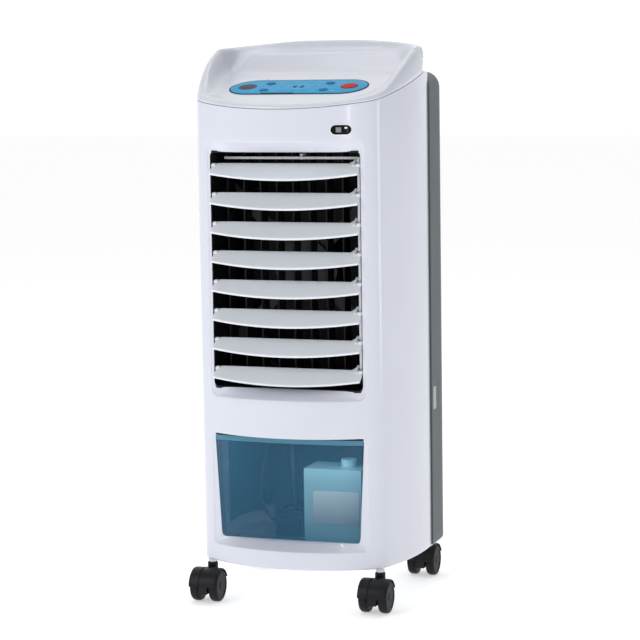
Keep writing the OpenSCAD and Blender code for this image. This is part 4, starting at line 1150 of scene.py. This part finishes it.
def make_caster(i):
    axle = Vector(JOINTS[f"wheels_{i}"]["pos_m"])
    stem = Vector(JOINTS[f"caster_{i}"]["pos_m"])
    wheels = []
    for s in (-1, 1):
        profile = [(r * MM, axle.x + s * out * MM) for r, out in TYRE_PROFILE]
        wheels.append(lathe("wheel", profile, (0, axle.y, axle.z), "X", 56))
    place(join(f"caster_tyres_{i}", wheels), TYRE, f"wheels_{i}", "caster_plastic", f"caster_wheels_{i}")
    parts = [plate("block", arc_yz(axle, BLOCK_R, -22, 202, 36), axle.x - BLOCK_HALF, axle.x + BLOCK_HALF,
                   0.7 * MM)]
    for s in (-1, 1):
        rings = []
        for x, r in FENDER_EDGE:
            edge = arc_yz(axle, r * MM, 22, 176, 30) + arc_yz(axle, FENDER_INNER_R, 176, 22, 30)
            rings.append([Vector((axle.x + s * x * MM, y, z)) for y, z in edge])
        parts.append(loft("fender", rings, sharp=40))
    parts.append(lathe("neck", [(r * MM, z * MM) for r, z in NECK_PROFILE], (stem.x, stem.y, 0), "Z", 36))
    parts.append(plate("web", [(axle.y, 27 * MM), (stem.y, 26 * MM), (stem.y, 41 * MM), (axle.y, 41 * MM)],
                       stem.x - 5.2 * MM, stem.x + 5.2 * MM, 0.5 * MM))
    place(join(f"caster_cover_{i}", parts), CASTER, f"caster_{i}", "caster_plastic", f"caster_hood_{i}")


for index in range(4):
    make_caster(index + 1)


# ---- studio -----------------------------------------------------------------------------------

def make_studio():
    scene = bpy.context.scene
    scene.view_settings.view_transform = "Standard"
    world = bpy.data.worlds.new("studio")
    scene.world = world
    world.use_nodes = True
    tree = world.node_tree
    background = tree.nodes["Background"]
    background.inputs["Color"].default_value = (0.985, 0.99, 1, 1)
    # brightest behind the object, dimmer to its right and in front
    direction = tree.nodes.new("ShaderNodeTexCoord")
    split = tree.nodes.new("ShaderNodeSeparateXYZ")
    tree.links.new(direction.outputs["Generated"], split.inputs["Vector"])
    depth = tree.nodes.new("ShaderNodeMapRange")
    depth.interpolation_type = "SMOOTHSTEP"
    depth.inputs["From Min"].default_value = 0.1
    depth.inputs["From Max"].default_value = 0.75
    depth.inputs["To Min"].default_value = 0.5
    depth.inputs["To Max"].default_value = 1.15
    tree.links.new(split.outputs["Y"], depth.inputs["Value"])
    side = tree.nodes.new("ShaderNodeMapRange")
    side.interpolation_type = "SMOOTHSTEP"
    side.inputs["From Min"].default_value = 0.15
    side.inputs["From Max"].default_value = 0.8
    side.inputs["To Min"].default_value = 1.0
    side.inputs["To Max"].default_value = 0.14
    tree.links.new(split.outputs["X"], side.inputs["Value"])
    both = tree.nodes.new("ShaderNodeMath")
    both.operation = "MULTIPLY"
    tree.links.new(depth.outputs["Result"], both.inputs[0])
    tree.links.new(side.outputs["Result"], both.inputs[1])
    tree.links.new(both.outputs["Value"], background.inputs["Strength"])

    mesh = bpy.data.meshes.new("floor")
    size = 14
    mesh.from_pydata([(-size, -size, 0), (size, -size, 0), (size, size, 0), (-size, size, 0)], [],
                     [(0, 1, 2, 3)])
    floor = bpy.data.objects.new("floor", mesh)
    scene.collection.objects.link(floor)
    mat = bpy.data.materials.new("floor")
    mat.use_nodes = True
    shader = mat.node_tree.nodes["Principled BSDF"]
    shader.inputs["Base Color"].default_value = (0.95, 0.95, 0.955, 1)
    shader.inputs["Roughness"].default_value = 0.9
    shader.inputs["Emission Color"].default_value = (1, 1, 1, 1)
    shader.inputs["Emission Strength"].default_value = 0.44
    mesh.materials.append(mat)

    def area(name, at, look, size_x, size_y, power):
        data = bpy.data.lights.new(name, "AREA")
        data.shape = "RECTANGLE"
        data.size, data.size_y, data.energy = size_x, size_y, power
        lamp_and_glint = bpy.data.objects.new(name, data)
        lamp_and_glint.location = at
        lamp_and_glint.rotation_mode = "QUATERNION"
        lamp_and_glint.rotation_quaternion = (Vector(look) - Vector(at)).to_track_quat("-Z", "Y")
        lamp_and_glint.visible_camera = False
        scene.collection.objects.link(lamp_and_glint)

    area("key", (-1.5, -2.3, 1.8), (0, 0, 0.35), 1.2, 1.8, 21)
    area("strip_right", (2.2, -0.14, 0.75), (0, -0.14, 0.6), 0.16, 2.2, 7)
    area("strip_front", (1.25, -2.0, 0.9), (0, 0, 0.6), 0.05, 1.5, 3.5)
    area("top", (0.1, 0.5, 2.6), (0, 0, 0.4), 1.6, 1.2, 9)
    area("tank_fill", (0.01, -0.094, 0.212), (0.02, 0.06, 0.12), 0.16, 0.012, 0.11)


make_studio()
